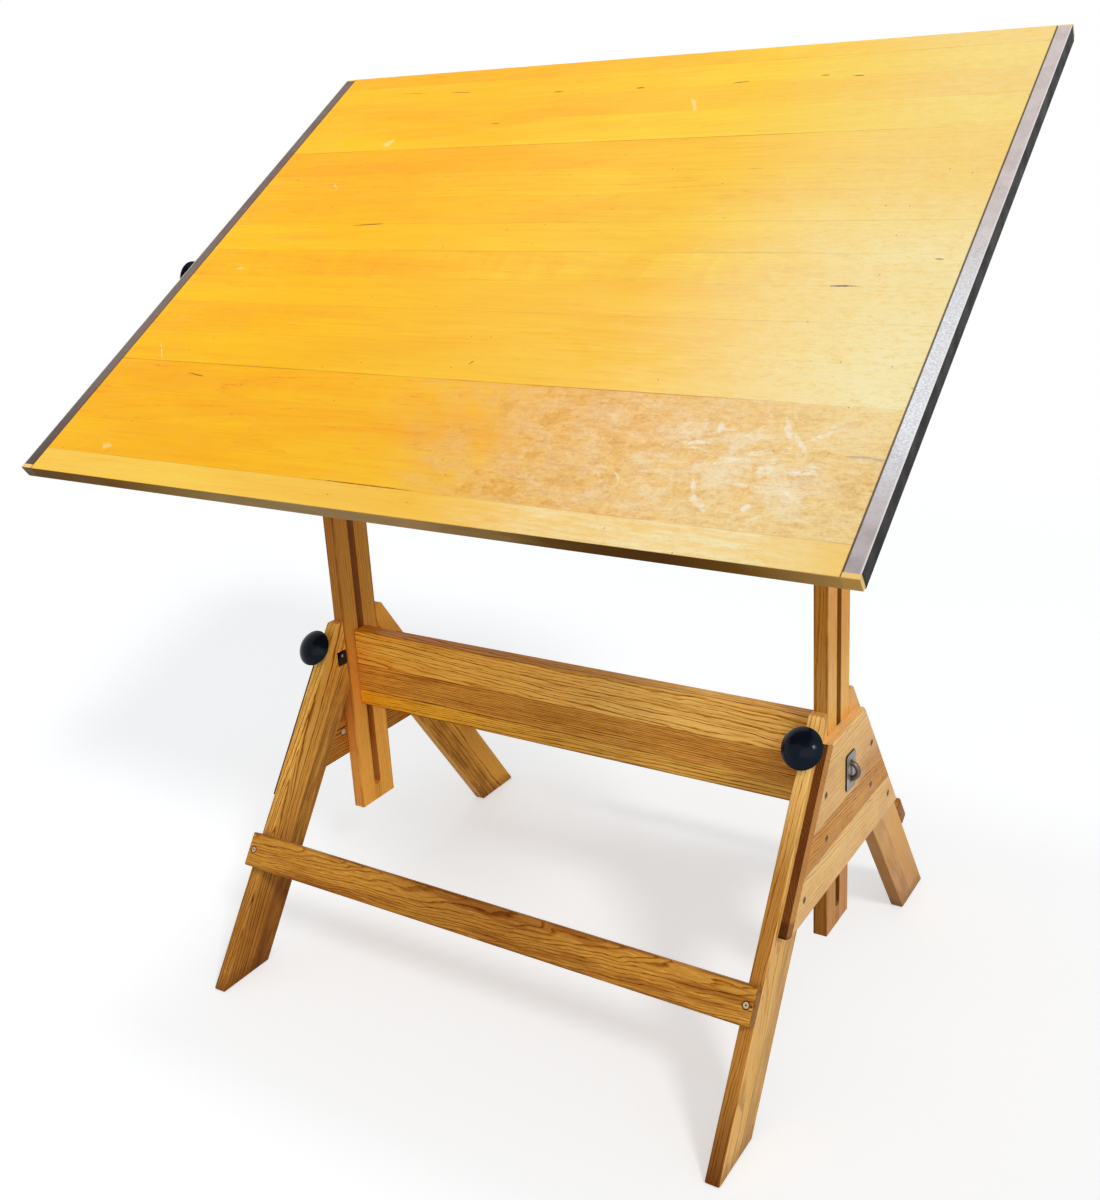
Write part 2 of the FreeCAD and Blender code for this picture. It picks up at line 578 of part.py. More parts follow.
def make_edge_cap():
    """The right steel angle: a flange over the batten and a side down its outer face."""
    outer, inner = TOP_WIDTH / 2, TOP_WIDTH / 2 - BATTEN_WIDTH
    ends = (board_y(CAP_SHORT_FRONT), board_y(TOP_DEPTH - CAP_SHORT_BACK))
    flange = block((inner, outer), ends, (SURFACE_Z - CAP_THICKNESS, SURFACE_Z))
    side = block((outer - CAP_THICKNESS, outer), ends, (SURFACE_Z - CAP_SIDE, SURFACE_Z))
    cap = flange.fuse(side).removeSplitter()

    def outer_arris(edge):
        return all(abs(v.X - outer) < 1e-6 and abs(v.Z - SURFACE_Z) < 1e-6 for v in edge.Vertexes)

    return ease(cap, CAP_THICKNESS * 0.7, outer_arris)


def make_batten():
    """The right batten, rebated for the steel cap."""
    outer, inner = TOP_WIDTH / 2, TOP_WIDTH / 2 - BATTEN_WIDTH
    ends = (board_y(CAP_SHORT_FRONT), board_y(TOP_DEPTH - CAP_SHORT_BACK))
    batten = block((inner, outer), (board_y(0), board_y(TOP_DEPTH)), (UNDERSIDE_Z, SURFACE_Z))
    batten = ease(batten, TOP_EASE, long_edges_at(board_y(0)))
    batten = ease(batten, TOP_EASE, long_edges_at(board_y(TOP_DEPTH)))
    top_rebate = block((inner - 1, outer + 1), ends, (SURFACE_Z - CAP_THICKNESS, SURFACE_Z + 1))
    side_rebate = block((outer - CAP_THICKNESS, outer + 1), ends, (UNDERSIDE_Z - 1, SURFACE_Z + 1))
    return cut_all(batten, [top_rebate, side_rebate])


def make_bearer():
    """The right bearer: thin ends that deepen to a round hub about the pivot."""
    front, back = board_y(BEARER_INSET), board_y(TOP_DEPTH - BEARER_INSET)
    thin_z = UNDERSIDE_Z - BEARER_END_HEIGHT
    lean = math.atan2(thin_z + BEARER_HUB_RADIUS, BEARER_SWELL)
    hub_y, hub_z = BEARER_HUB_RADIUS * math.sin(lean), -BEARER_HUB_RADIUS * math.cos(lean)
    bearer = side_prism([(front, UNDERSIDE_Z), (back, UNDERSIDE_Z), (back, thin_z),
                         (BEARER_SWELL, thin_z), (hub_y, hub_z), (-hub_y, hub_z),
                         (-BEARER_SWELL, thin_z), (front, thin_z)], BEARER_INNER_X, BEARER_OUTER_X)
    hub = rod(Vec(BEARER_INNER_X, 0, 0), RIGHT, BEARER_THICKNESS, 2 * BEARER_HUB_RADIUS)
    bearer = bearer.fuse(hub).removeSplitter()
    pivot_hole = rod(Vec(BEARER_INNER_X - 1, 0, 0), RIGHT, BEARER_THICKNESS + 2,
                     TILT_ROD + 2 * SCREW_FIT)
    return cut_all(bearer, [pivot_hole] + list(bearer_screw_tools(SCREW_FIT)))


# ---- Tilt rod and its lock ----
PIVOT = Vec(0, 0, PIVOT_HEIGHT)
KNOB_SEAT = PIVOT - RIGHT * (SLEEVE_END_X + FACE_GAP)


def make_tilt_rod():
    left = KNOB_SEAT - RIGHT * KNOB_BORE_DEPTH
    right_x = BEARER_OUTER_X + ROD_NUT[1] + ROD_PAST_NUT
    return rod(left, RIGHT, right_x - left.x, TILT_ROD)


def make_rod_nut():
    flats, length = ROD_NUT
    corners = [Vec(BEARER_OUTER_X, flats / math.sqrt(3) * math.cos(math.radians(60 * k)),
                   PIVOT_HEIGHT + flats / math.sqrt(3) * math.sin(math.radians(60 * k))) for k in range(7)]
    nut = Part.Face(Part.makePolygon(corners)).extrude(RIGHT * length)
    return nut.cut(rod(PIVOT + RIGHT * (BEARER_OUTER_X - 1), RIGHT, length + 2, TILT_ROD + 2 * SCREW_FIT))


# ---- All the pieces ----
def both_sides(name, shape):
    """One node for each side."""
    parts[name + "_right"] = shape
    parts[name + "_left"] = mirror_x(shape)


def one_group(name, shapes):
    """One node that holds the pieces of both sides, as separate solids."""
    shapes = list(shapes)
    parts[name] = Part.makeCompound(shapes + [mirror_x(shape) for shape in shapes])


front_leg, rear_leg = make_front_leg()
both_sides("front_leg", front_leg)
both_sides("rear_leg", mirror_y(rear_leg))
for board_name, board in make_panel_boards():
    parts["side_panel_right_" + board_name] = board
    parts["side_panel_left_" + board_name] = mirror_x(board)
for board_name, board in make_rail_boards():
    parts["wide_rail_" + board_name] = board
parts["front_stretcher"] = make_front_stretcher()
parts["rear_stretcher"] = mirror_y(parts["front_stretcher"])
one_group("stretcher_screws", [stretcher_screw(0), mirror_y(stretcher_screw(0))])
one_group("panel_screws", panel_screw_tools(0))
one_group("tie_loops", [make_tie_loop()])
one_group("tie_plates", [make_tie_plate()])
one_group("tie_nuts", make_tie_nuts())
one_group("guide_studs", [guide_stud()])
one_group("clamp_bushings", [make_bushing()])

both_sides("clamp_shoe", make_shoe())
both_sides("shoe_screw", make_shoe_screw())
both_sides("clamp_rod", make_clamp_rod())
both_sides("clamp_knob", make_knob(on_clamp_axis(KNOB_STAND_OFF), OUT_OF_LEG))

both_sides("mast", make_mast())
parts["mast_spacer_tube"] = ring(PIVOT - RIGHT * MAST_INNER_X, RIGHT, 2 * MAST_INNER_X,
                                 TUBE_DIAMETER, TILT_ROD + 2 * ROD_CLEARANCE)

for strip_name, strip in make_strips():
    parts[strip_name] = tilted(strip)
both_sides("batten", tilted(make_batten()))
both_sides("edge_cap", tilted(make_edge_cap()))
both_sides("tilt_bearer", tilted(make_bearer()))
one_group("bearer_screws", [tilted(screw) for screw in bearer_screw_tools(0)])

parts["tilt_rod"] = make_tilt_rod()
parts["rod_end_nut"] = make_rod_nut()
parts["tilt_sleeve"] = ring(PIVOT - RIGHT * SLEEVE_END_X, RIGHT, SLEEVE_LENGTH,
                            TUBE_DIAMETER, TILT_ROD + 2 * RUNNING_FIT)
parts["tilt_knob"] = make_knob(KNOB_SEAT, -RIGHT)

# ---- Origin on the floor, under the middle of the table's whole box ----
whole_box = FreeCAD.BoundBox()
for shape in parts.values():
    whole_box.add(shape.optimalBoundingBox(False, False))
shift = Vec(-whole_box.Center.x, -whole_box.Center.y, -whole_box.ZMin)

os.makedirs("parts", exist_ok=True)
for name, shape in parts.items():
    shape.translate(shift)
    shape.exportStep("parts/%s.step" % name)
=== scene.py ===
import json
import math
import random

import bpy
import bmesh
from mathutils import Matrix, Vector


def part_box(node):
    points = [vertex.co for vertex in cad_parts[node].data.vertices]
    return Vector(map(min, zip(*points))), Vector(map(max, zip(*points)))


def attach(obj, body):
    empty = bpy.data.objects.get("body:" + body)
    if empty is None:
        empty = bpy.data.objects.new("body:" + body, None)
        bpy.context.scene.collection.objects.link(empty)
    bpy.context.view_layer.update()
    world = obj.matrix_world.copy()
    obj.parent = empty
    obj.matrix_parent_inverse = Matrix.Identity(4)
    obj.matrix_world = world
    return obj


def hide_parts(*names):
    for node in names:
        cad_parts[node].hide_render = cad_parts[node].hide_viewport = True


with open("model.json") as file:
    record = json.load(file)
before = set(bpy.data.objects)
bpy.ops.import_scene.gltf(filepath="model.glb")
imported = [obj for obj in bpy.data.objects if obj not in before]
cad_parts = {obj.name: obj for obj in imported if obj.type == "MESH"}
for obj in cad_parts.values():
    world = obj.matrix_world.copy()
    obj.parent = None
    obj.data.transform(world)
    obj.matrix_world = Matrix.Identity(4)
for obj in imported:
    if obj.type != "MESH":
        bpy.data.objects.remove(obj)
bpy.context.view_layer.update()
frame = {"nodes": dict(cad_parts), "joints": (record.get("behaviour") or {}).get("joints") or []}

# ---- Sizes, metres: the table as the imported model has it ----
LEAN = math.radians(34.4)          # legs, from the vertical
TILT = math.radians(34.0)          # top, from level
TOP_THICK = 0.019
PIVOT_FROM_FRONT = 0.468
SURFACE_ABOVE_PIVOT = 0.066
STRIP_WIDTHS_MM = (39.5, 62.5, 59.0, 58.5, 62.5, 62.5, 60.0, 58.5,
                   60.0, 60.0, 59.0, 61.0, 66.5, 55.0, 55.5, 34.4)
LEG_FOOT_FRONT = -0.38703          # front leg's outer edge at the floor
LEG_WIDTH = 0.0794
STRETCHER_START = 0.1903           # up the leg, from its outer edge at the floor
STRETCHER_HEIGHT, STRETCHER_THICK = 0.0507, 0.019
MAST_SLOT_HALF = 0.0075

TOP_DEPTH = sum(STRIP_WIDTHS_MM) / 1000
FIRST_SEAM = STRIP_WIDTHS_MM[0] / 1000
FOURTH_SEAM = sum(STRIP_WIDTHS_MM[:4]) / 1000
NODES = frame["nodes"]
JOINTS = {joint["name"]: joint for joint in frame["joints"]}


def middle_of(node):
    low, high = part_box(node)
    return (low + high) / 2


def size_of(node):
    low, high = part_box(node)
    return high - low


MIDDLE = middle_of("mast_spacer_tube")         # the pivot line, midway between the masts
FRAME_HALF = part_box("front_leg_right")[1].x - MIDDLE.x
LEG_THICK = size_of("front_leg_right").x
MAST_THICK, MAST_DEPTH, _ = size_of("mast_right")
BEARER_X = middle_of("tilt_bearer_right").x - MIDDLE.x
TOP_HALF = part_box("edge_cap_right")[1].x - MIDDLE.x
CAP_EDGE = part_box("edge_cap_right")[0].x - MIDDLE.x           # the cap's inner edge
PANEL_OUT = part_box("side_panel_right_lower")[1].x - MIDDLE.x
PANEL_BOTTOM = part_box("side_panel_right_lower")[0].z

RIGHT, AWAY, UP = Vector((1, 0, 0)), Vector((0, 1, 0)), Vector((0, 0, 1))
UP_LEG = Vector((0, math.sin(LEAN), math.cos(LEAN)))          # front legs
OUT_OF_LEG = Vector((0, -math.cos(LEAN), math.sin(LEAN)))
UP_REAR_LEG = Vector((0, -math.sin(LEAN), math.cos(LEAN)))
ALONG_TOP = Vector((0, math.cos(TILT), math.sin(TILT)))       # from front edge to back edge
OFF_TOP = Vector((0, -math.sin(TILT), math.cos(TILT)))


# ---- Node recipes ----
class Recipe:
    """Adds nodes to one tree and wires them up."""

    def __init__(self, tree):
        self.tree = tree

    def add(self, kind, inputs=None, **settings):
        node = self.tree.nodes.new(kind)
        for key, value in settings.items():
            setattr(node, key, value)
        for key, value in (inputs or {}).items():
            self.feed(node.inputs[key], value)
        return node

    def feed(self, socket, value):
        if isinstance(value, bpy.types.NodeSocket):
            self.tree.links.new(value, socket)
        else:
            socket.default_value = value

    def compute(self, operation, *values, clamp=False):
        node = self.add("ShaderNodeMath", dict(enumerate(values)), operation=operation, use_clamp=clamp)
        return node.outputs[0]

    def times(self, *values, clamp=False):
        return self.compute("MULTIPLY", *values, clamp=clamp)

    def plus(self, *values, clamp=False):
        return self.compute("ADD", *values, clamp=clamp)

    def minus(self, *values):
        return self.compute("SUBTRACT", *values)

    def rest(self, value):
        """What is left of 1."""
        return self.minus(1.0, value)

    def over(self, *values):
        return self.compute("DIVIDE", *values)

    def most(self, *values):
        return self.compute("MAXIMUM", *values)

    def absolute(self, value):
        return self.compute("ABSOLUTE", value)

    def centred(self, value, weight=1.0, middle=0.5):
        """How far value is from its middle, times weight."""
        return self.times(self.minus(value, middle), weight)

    def vector(self, operation, *values):
        node = self.add("ShaderNodeVectorMath", dict(enumerate(values)), operation=operation)
        return node.outputs[0]

    def mapped(self, vector, turn=(0, 0, 0), move=(0, 0, 0), scale=(1, 1, 1), kind="POINT"):
        """Coordinates scaled, turned (radians) and then moved, or the reverse for kind TEXTURE."""
        inputs = {"Vector": vector, "Rotation": turn, "Scale": scale}
        if kind != "VECTOR":
            inputs["Location"] = move
        return self.add("ShaderNodeMapping", inputs, vector_type=kind).outputs[0]

    def stretch(self, vector, scale, shift=(0, 0, 0)):
        return self.mapped(vector, scale=scale, move=shift)

    def noise(self, vector, detail=2.0, rough=0.5, scale=1.0, distort=0.0):
        node = self.add("ShaderNodeTexNoise", {"Vector": vector, "Scale": scale, "Detail": detail,
                                               "Roughness": rough, "Distortion": distort})
        return node.outputs["Fac"]

    def cloud(self, vector, size, shift=(0, 0, 0), **settings):
        """Noise stretched along X, Y and Z: bigger numbers are finer."""
        return self.noise(self.stretch(vector, size, shift), **settings)

    def step(self, value, low, high, out_low=0.0, out_high=1.0, smooth=True):
        """Rises from out_low to out_high as value goes from low to high."""
        node = self.add("ShaderNodeMapRange", {"Value": value, "From Min": low, "From Max": high,
                                               "To Min": out_low, "To Max": out_high},
                        interpolation_type="SMOOTHSTEP" if smooth else "LINEAR")
        return node.outputs["Result"]

    def blend(self, factor, first, second, kind="MIX"):
        node = self.add("ShaderNodeMix", data_type="RGBA", blend_type=kind)
        self.feed(node.inputs[0], factor)
        self.feed(node.inputs[6], first)
        self.feed(node.inputs[7], second)
        return node.outputs[2]

    def tint(self, factor, colour, shade):
        """Multiplies colour by shade, where factor is 1."""
        return self.blend(factor, colour, self.blend(1.0, colour, shade, "MULTIPLY"))

    def shades(self, value, *stops):
        """A colour ramp of (position, (r, g, b)) stops."""
        node = self.add("ShaderNodeValToRGB", {"Fac": value})
        ramp = node.color_ramp
        while len(ramp.elements) < len(stops):
            ramp.elements.new(0.5)
        for element, (position, colour) in zip(ramp.elements, stops):
            element.position = position
            element.color = (*colour, 1)
        return node.outputs["Color"]

    def band(self, value, start, rise, fall, end):
        """1 between rise and fall, 0 before start and after end."""
        return self.times(self.step(value, start, rise), self.step(value, fall, end, 1.0, 0.0))

    def split(self, vector):
        return self.add("ShaderNodeSeparateXYZ", {0: vector}).outputs

    def length(self, vector):
        """Distance from the origin, seen from above."""
        flat = self.vector("MULTIPLY", vector, (1, 1, 0))
        return self.add("ShaderNodeVectorMath", {0: flat}, operation="LENGTH").outputs["Value"]


def new_group(name, inputs, outputs):
    """A shader node group with (name, kind, default) inputs and (name, kind) outputs."""
    tree = bpy.data.node_groups.new(name, "ShaderNodeTree")
    for label, kind, default in inputs:
        socket = tree.interface.new_socket(label, in_out="INPUT", socket_type=kind)
        if default is not None:
            socket.default_value = default
    for label, kind in outputs:
        tree.interface.new_socket(label, in_out="OUTPUT", socket_type=kind)
    recipe = Recipe(tree)
    return tree, recipe, recipe.add("NodeGroupInput").outputs, recipe.add("NodeGroupOutput").inputs


FLOAT, WHOLE = "NodeSocketFloat", "NodeSocketInt"
VECTOR, COLOR = "NodeSocketVector", "NodeSocketColor"

# Each species: light to dark stops, the ring line's rise and fall across one ring, and how far
# the ring lines, pores and fibres show.
OAK = dict(
    shades=((0.0, (0.88, 0.485, 0.105)), (0.30, (0.70, 0.325, 0.042)),
            (0.60, (0.43, 0.160, 0.013)), (1.0, (0.15, 0.042, 0.004))),
    line=(0.0, 0.06, 0.12, 0.44), rings=0.56, pores=0.40, fibres=0.62, broad=0.28, base=0.07,
    pore_size=(70, 1150, 1150), pore_cut=(0.50, 0.63), fibre_size=(14, 520, 520), bump=1.0)
STRIP_WOOD = dict(
    shades=((0.0, (1.0, 0.590, 0.016)), (0.35, (0.985, 0.490, 0.006)),
            (0.65, (0.90, 0.360, 0.004)), (1.0, (0.52, 0.165, 0.004))),
    line=(0.0, 0.30, 0.34, 0.60), rings=0.10, pores=0.30, fibres=0.46, broad=0.36, base=0.19,
    pore_size=(60, 780, 780), pore_cut=(0.60, 0.74), fibre_size=(9, 420, 420), bump=0.35)


def make_wood(name, kind):
    """Growth rings about a pith line beside the board, with pores and fibres along the grain."""
    tree, r, given, made = new_group(
        name,
        [("Grain", VECTOR, None), ("Facing", FLOAT, 0.0), ("Pith across", FLOAT, 0.02),
         ("Pith deep", FLOAT, -0.08), ("Lean across", FLOAT, 0.0), ("Lean deep", FLOAT, 0.03),
         ("Ring width", FLOAT, 0.0035), ("Waviness", FLOAT, 1.0), ("Seed", FLOAT, 0.0),
         ("Contrast", FLOAT, 1.0), ("Figure", FLOAT, 0.0), ("Tone", COLOR, (1, 1, 1, 1)),
         ("End tone", COLOR, (0.55, 0.44, 0.38, 1))],
        [("Color", COLOR), ("Height", FLOAT), ("Roughness", FLOAT)])
    seed = r.add("ShaderNodeCombineXYZ", {0: given["Seed"], 1: given["Seed"], 2: 0.0}).outputs[0]
    grain = r.vector("ADD", given["Grain"], seed)

    # Slow and quick wander of the rings.
    def drift(size, detail, reach):
        cloud = r.add("ShaderNodeTexNoise", {"Vector": r.stretch(grain, size), "Scale": 1.0,
                                             "Detail": detail})
        centred = r.vector("SUBTRACT", cloud.outputs["Color"], (0.5, 0.5, 0.5))
        return r.vector("MULTIPLY", centred, (0, reach, reach))

    wander = r.vector("ADD", drift((1.3, 7, 7), 1.0, 0.014), drift((12, 42, 42), 2.0, 0.0048))
    scaled = r.add("ShaderNodeVectorMath", {0: wander}, operation="SCALE")
    r.feed(scaled.inputs["Scale"], given["Waviness"])
    place = r.split(r.vector("ADD", given["Grain"], scaled.outputs[0]))
    across = r.minus(r.minus(place[1], given["Pith across"]), r.times(given["Lean across"], place[0]))
    deep = r.minus(r.minus(place[2], given["Pith deep"]), r.times(given["Lean deep"], place[0]))
    radius = r.compute("SQRT", r.plus(r.times(across, across), r.times(deep, deep)))
    uneven = r.add("ShaderNodeTexNoise", {"W": r.plus(r.times(radius, 95.0), given["Seed"]),
                                          "Scale": 1.0, "Detail": 1.0}, noise_dimensions="1D").outputs["Fac"]
    phase = r.plus(r.over(radius, given["Ring width"]), r.times(uneven, 1.8))
    within = r.compute("FRACT", phase)
    ring_luck = r.add("ShaderNodeTexWhiteNoise", {"W": r.plus(r.compute("FLOOR", phase), given["Seed"])},
                      noise_dimensions="1D").outputs["Value"]
    early = r.band(within, *kind["line"])
    early = r.times(early, r.step(ring_luck, 0.0, 1.0, 0.38, 1.0, smooth=False))

    # Pores are short dark dashes, thickest in the early wood; fibres are longer, softer streaks.
    pores = r.step(r.cloud(grain, kind["pore_size"], detail=1.0), *kind["pore_cut"])
    pores = r.times(pores, r.step(early, 0.0, 0.8, 0.30, 1.0, smooth=False))
    fibres = r.cloud(grain, kind["fibre_size"], detail=3.0, rough=0.6)
    broad = r.cloud(grain, (2.6, 26, 26), detail=2.0)
    curl = r.cloud(grain, (46, 12, 12), detail=1.5, distort=0.6)
    warmth = r.cloud(grain, (3.5, 17, 17), (4, 4, 4), detail=2.0)

    dark = r.plus(r.times(early, kind["rings"]), r.times(pores, kind["pores"]))
    dark = r.plus(dark, r.centred(fibres, kind["fibres"]))
    dark = r.plus(dark, r.centred(broad, kind["broad"]))
    dark = r.times(dark, given["Contrast"])
    dark = r.plus(dark, r.times(r.centred(curl, 0.55), given["Figure"]))
    dark = r.plus(dark, kind["base"], clamp=True)
    colour = r.blend(1.0, r.shades(dark, *kind["shades"]), given["Tone"], "MULTIPLY")
    hue = r.blend(r.step(warmth, 0.32, 0.68), (1.01, 1.03, 1.04, 1), (0.99, 0.96, 0.93, 1))
    colour = r.blend(1.0, colour, hue, "MULTIPLY")
    end = r.step(given["Facing"], 0.28, 0.92)
    colour = r.tint(end, colour, given["End tone"])

    height = r.minus(0.0, r.plus(r.times(pores, 0.8), r.times(early, 0.35)))
    height = r.times(height, kind["bump"])
    sheen = r.cloud(grain, (18, 60, 60), detail=3.0)
    roughness = r.plus(r.step(sheen, 0.3, 0.7, 0.30, 0.46), r.times(pores, 0.12))
    for label, value in (("Color", colour), ("Height", height), ("Roughness", roughness)):
        r.feed(made[label], value)
    return tree


OAK_GROUP = make_wood("varnished oak", OAK)
STRIP_GROUP = make_wood("varnished strip wood", STRIP_WOOD)


# Marks on the drawing surface: metres from the middle and from the front edge, half the length,
# half the width, degrees turned and, for some, how ragged.
RUBS = ((0.475, 0.180, 0.019, 0.0050, -63), (0.4935, 0.163, 0.024, 0.0035, -50),
        (0.468, 0.121, 0.012, 0.0080, 10), (0.454, 0.144, 0.018, 0.0045, 12),
        (0.5015, 0.0955, 0.032, 0.0032, -35), (0.413, 0.070, 0.018, 0.0055, -36),
        (0.400, 0.089, 0.016, 0.0035, -68), (0.430, 0.133, 0.030, 0.0045, 26),
        (0.503, 0.121, 0.024, 0.0035, 6), (0.520, 0.178, 0.026, 0.0040, 32),
        (0.447, 0.100, 0.020, 0.0030, -12), (0.380, 0.152, 0.022, 0.0040, 8))
INK_MARKS = ((0.462, 0.406, 0.021, 0.0016, 1.5), (0.561, 0.454, 0.006, 0.0011, -6))
BLUE_SMEARS = ((0.562, 0.150, 0.022, 0.0020, 2), (0.583, 0.149, 0.010, 0.0022, -6))
DIRT_MARKS = ((-0.420, 0.197, 0.022, 0.0013, -8), (-0.135, 0.836, 0.010, 0.0013, 0),
              (0.011, 0.832, 0.010, 0.0020, 0), (0.174, 0.830, 0.016, 0.0015, 3),
              (0.299, 0.834, 0.007, 0.0014, 0), (0.349, 0.828, 0.009, 0.0015, -2),
              (-0.214, 0.761, 0.012, 0.0012, 2), (-0.313, 0.521, 0.035, 0.0015, 4),
              (0.024, 0.251, 0.005, 0.0014, 60), (-0.430, 0.858, 0.030, 0.0009, -3),
              (-0.330, 0.852, 0.026, 0.0010, -4), (-0.02, 0.0405, 0.090, 0.0010, 0))
PALE_SPOTS = ((-0.400, 0.722, 0.012, 0.009, 50, 0.5), (-0.480, 0.055, 0.009, 0.007, 0, 0.5),
              (-0.525, 0.240, 0.030, 0.0012, -48, 0.3), (-0.440, 0.615, 0.012, 0.0022, -40, 0.5),
              (-0.500, 0.420, 0.008, 0.004, 0, 0.5), (0.120, 0.780, 0.020, 0.004, -60, 0.5))


WEAR = ("Bleach and glare", "Dull", "Brown", "Scuff", "Pale spot", "Dirt", "Ink", "Blue smear")


def make_top_wear_and_glare():
    """Marks of use on the drawing surface, and painted glare, by place: x from the middle, y from the front
    edge.
    """
    tree, r, given, made = new_group("top wear and glare", [("Place", VECTOR, None)],
                                     [(label, FLOAT) for label in WEAR])
    place = given["Place"]
    x, y, _ = r.split(place)

    def cloud(size, shift=(0, 0, 0), **settings):
        return r.cloud(place, size, shift, **settings)

    # In front of the user, right of the middle, the second to the fourth strip are rubbed dull.
    frontier = cloud((9, 13, 1), (1.7, 0.2, 0), detail=4.0, rough=0.62)
    reach = r.plus(x, r.centred(frontier, 0.6))
    lip_end = (FIRST_SEAM - 0.0025, FIRST_SEAM + 0.0025)
    rows = r.band(y, *lip_end, FOURTH_SEAM - 0.001, FOURTH_SEAM + 0.0005)
    corner = r.times(r.step(x, 0.38, 0.54), r.step(y, 0.11, 0.19))
    rows = r.times(rows, r.rest(r.times(corner, 0.35)))
    patches = cloud((22, 36, 1), (3.1, 0.4, 0), detail=6.0, rough=0.72)
    dull = r.times(r.times(rows, r.step(reach, -0.08, 0.20)), r.step(patches, 0.40, 0.62, 1.0, 0.45))
    brown = r.times(r.times(rows, r.step(reach, 0.02, 0.16)), r.step(patches, 0.52, 0.60))

    # Painted glare and bleached wear: pale towards the right-hand side, most of all at the front.
    front = r.step(y, 0.40, 0.68, 1.0, 0.48)
    bleach_and_glare = r.times(r.times(r.step(x, 0.16, 0.60), front), 0.85)
    bleach_and_glare = r.plus(bleach_and_glare, r.times(r.step(x, -0.4, 0.3), 0.07))
    uneven = r.step(cloud((4.2, 6.0, 1), detail=4.0, rough=0.6), 0.30, 0.70, 0.78, 1.14, smooth=False)
    bleach_and_glare = r.times(bleach_and_glare, uneven, clamp=True)
    bleach_and_glare = r.times(bleach_and_glare, r.rest(r.times(rows, 0.45)))
    lip = r.step(y, *lip_end, 1.0, 0.0)            # the front strip is rubbed in streaks
    streaks = r.step(cloud((15, 120, 1), detail=6.0, rough=0.74), 0.34, 0.66, 0.30, 1.0)
    streaks = r.times(r.times(streaks, r.band(x, 0.05, 0.28, 0.46, 0.60)), 0.80)
    bleach_and_glare = r.plus(r.times(bleach_and_glare, r.rest(r.times(lip, 0.62))), r.times(lip, streaks), clamp=True)

    # Cloudy pale rubs, with a few broken curved smears, thickest right of the middle.
    zone = r.times(r.band(x, 0.16, 0.40, 0.50, 0.585), r.band(y, 0.03, 0.075, 0.165, 0.225))
    cream = r.step(cloud((15, 23, 1), (8, 2, 0), detail=8.0, rough=0.74), 0.47, 0.60)
    grain = r.step(cloud((150, 240, 1), detail=3.0, rough=0.6), 0.38, 0.62, 0.50, 1.0)
    bend = cloud((10, 15, 1), (3, 1, 0), detail=3.0, rough=0.55, distort=0.9)
    smear = r.step(r.absolute(r.minus(bend, 0.5)), 0.0, 0.020, 1.0, 0.0)
    broken = r.step(cloud((34, 46, 1), (1, 6, 0), detail=3.0, rough=0.7), 0.48, 0.62)
    scuff = r.plus(r.times(cream, r.times(grain, 0.62)), r.times(smear, broken))
    scuff = r.times(zone, scuff, clamp=True)
    turned = r.mapped(place, turn=(0, 0, math.radians(-40)), move=(2, 7, 0))
    strokes = r.step(r.cloud(turned, (7, 120, 1), detail=3.0, rough=0.62), 0.66, 0.73)
    scuff = r.most(scuff, r.times(strokes, r.step(x, -0.1, 0.5, 0.05, 0.20)))

    specks = cloud((150, 210, 1), detail=2.0)

    def mark(cx, cy, long, wide, turn, ragged=0.25):
        """A soft-edged dash at (cx, cy), turned by degrees, 1 at its middle."""
        own = r.mapped(place, (0, 0, math.radians(turn)), (cx, cy, 0), (long, wide, 1), kind="TEXTURE")
        frayed = r.plus(r.length(own), r.centred(specks, ragged * 4))
        return r.step(frayed, 0.55, 1.0, 1.0, 0.0)

    def gathered(marks, *more):
        total, *others = [mark(*one) for one in marks] + list(more)
        for one in others:
            total = r.most(total, one)
        return total

    soft = r.step(cloud((60, 90, 1), detail=4.0, rough=0.7), 0.36, 0.60)
    rubs = gathered([(*rub, 0.36) for rub in RUBS])
    scuff = r.most(scuff, r.times(rubs, r.plus(0.25, r.times(soft, 0.75))))
    dots = r.add("ShaderNodeTexVoronoi", {"Vector": place, "Scale": 34.0, "Randomness": 1.0},
                 voronoi_dimensions="2D")
    chosen = r.step(r.split(dots.outputs["Color"])[0], 0.95, 0.955)
    flyspecks = r.times(r.step(dots.outputs["Distance"], 0.020, 0.045, 0.75, 0.0), chosen)
    dirt = gathered(DIRT_MARKS, flyspecks)
    for label, value in zip(WEAR, (bleach_and_glare, dull, brown, scuff, gathered(PALE_SPOTS), dirt,
                                   gathered(INK_MARKS), gathered(BLUE_SMEARS))):
        r.feed(made[label], value)
    return tree


TOP_WEAR_AND_GLARE = make_top_wear_and_glare()


# ---- Materials ----
def new_material(name):
    material = bpy.data.materials.new(name)
    material.use_nodes = True
    recipe = Recipe(material.node_tree)
    shader = material.node_tree.nodes["Principled BSDF"]
    return material, recipe, shader


def tone(colour):
    return (*colour, 1)


def bump_up(r, shader, strength, distance, height):
    bump = r.add("ShaderNodeBump", {"Strength": strength, "Distance": distance, "Height": height})
    r.feed(shader.inputs["Normal"], bump.outputs[0])


def grain_frame(along, wide, middle):
    """Rotation and location that put along on X, wide on Y and middle at the origin."""
    deep = along.cross(wide)
    turn = Matrix((along, wide, deep))
    return turn.to_euler(), -(turn @ middle)


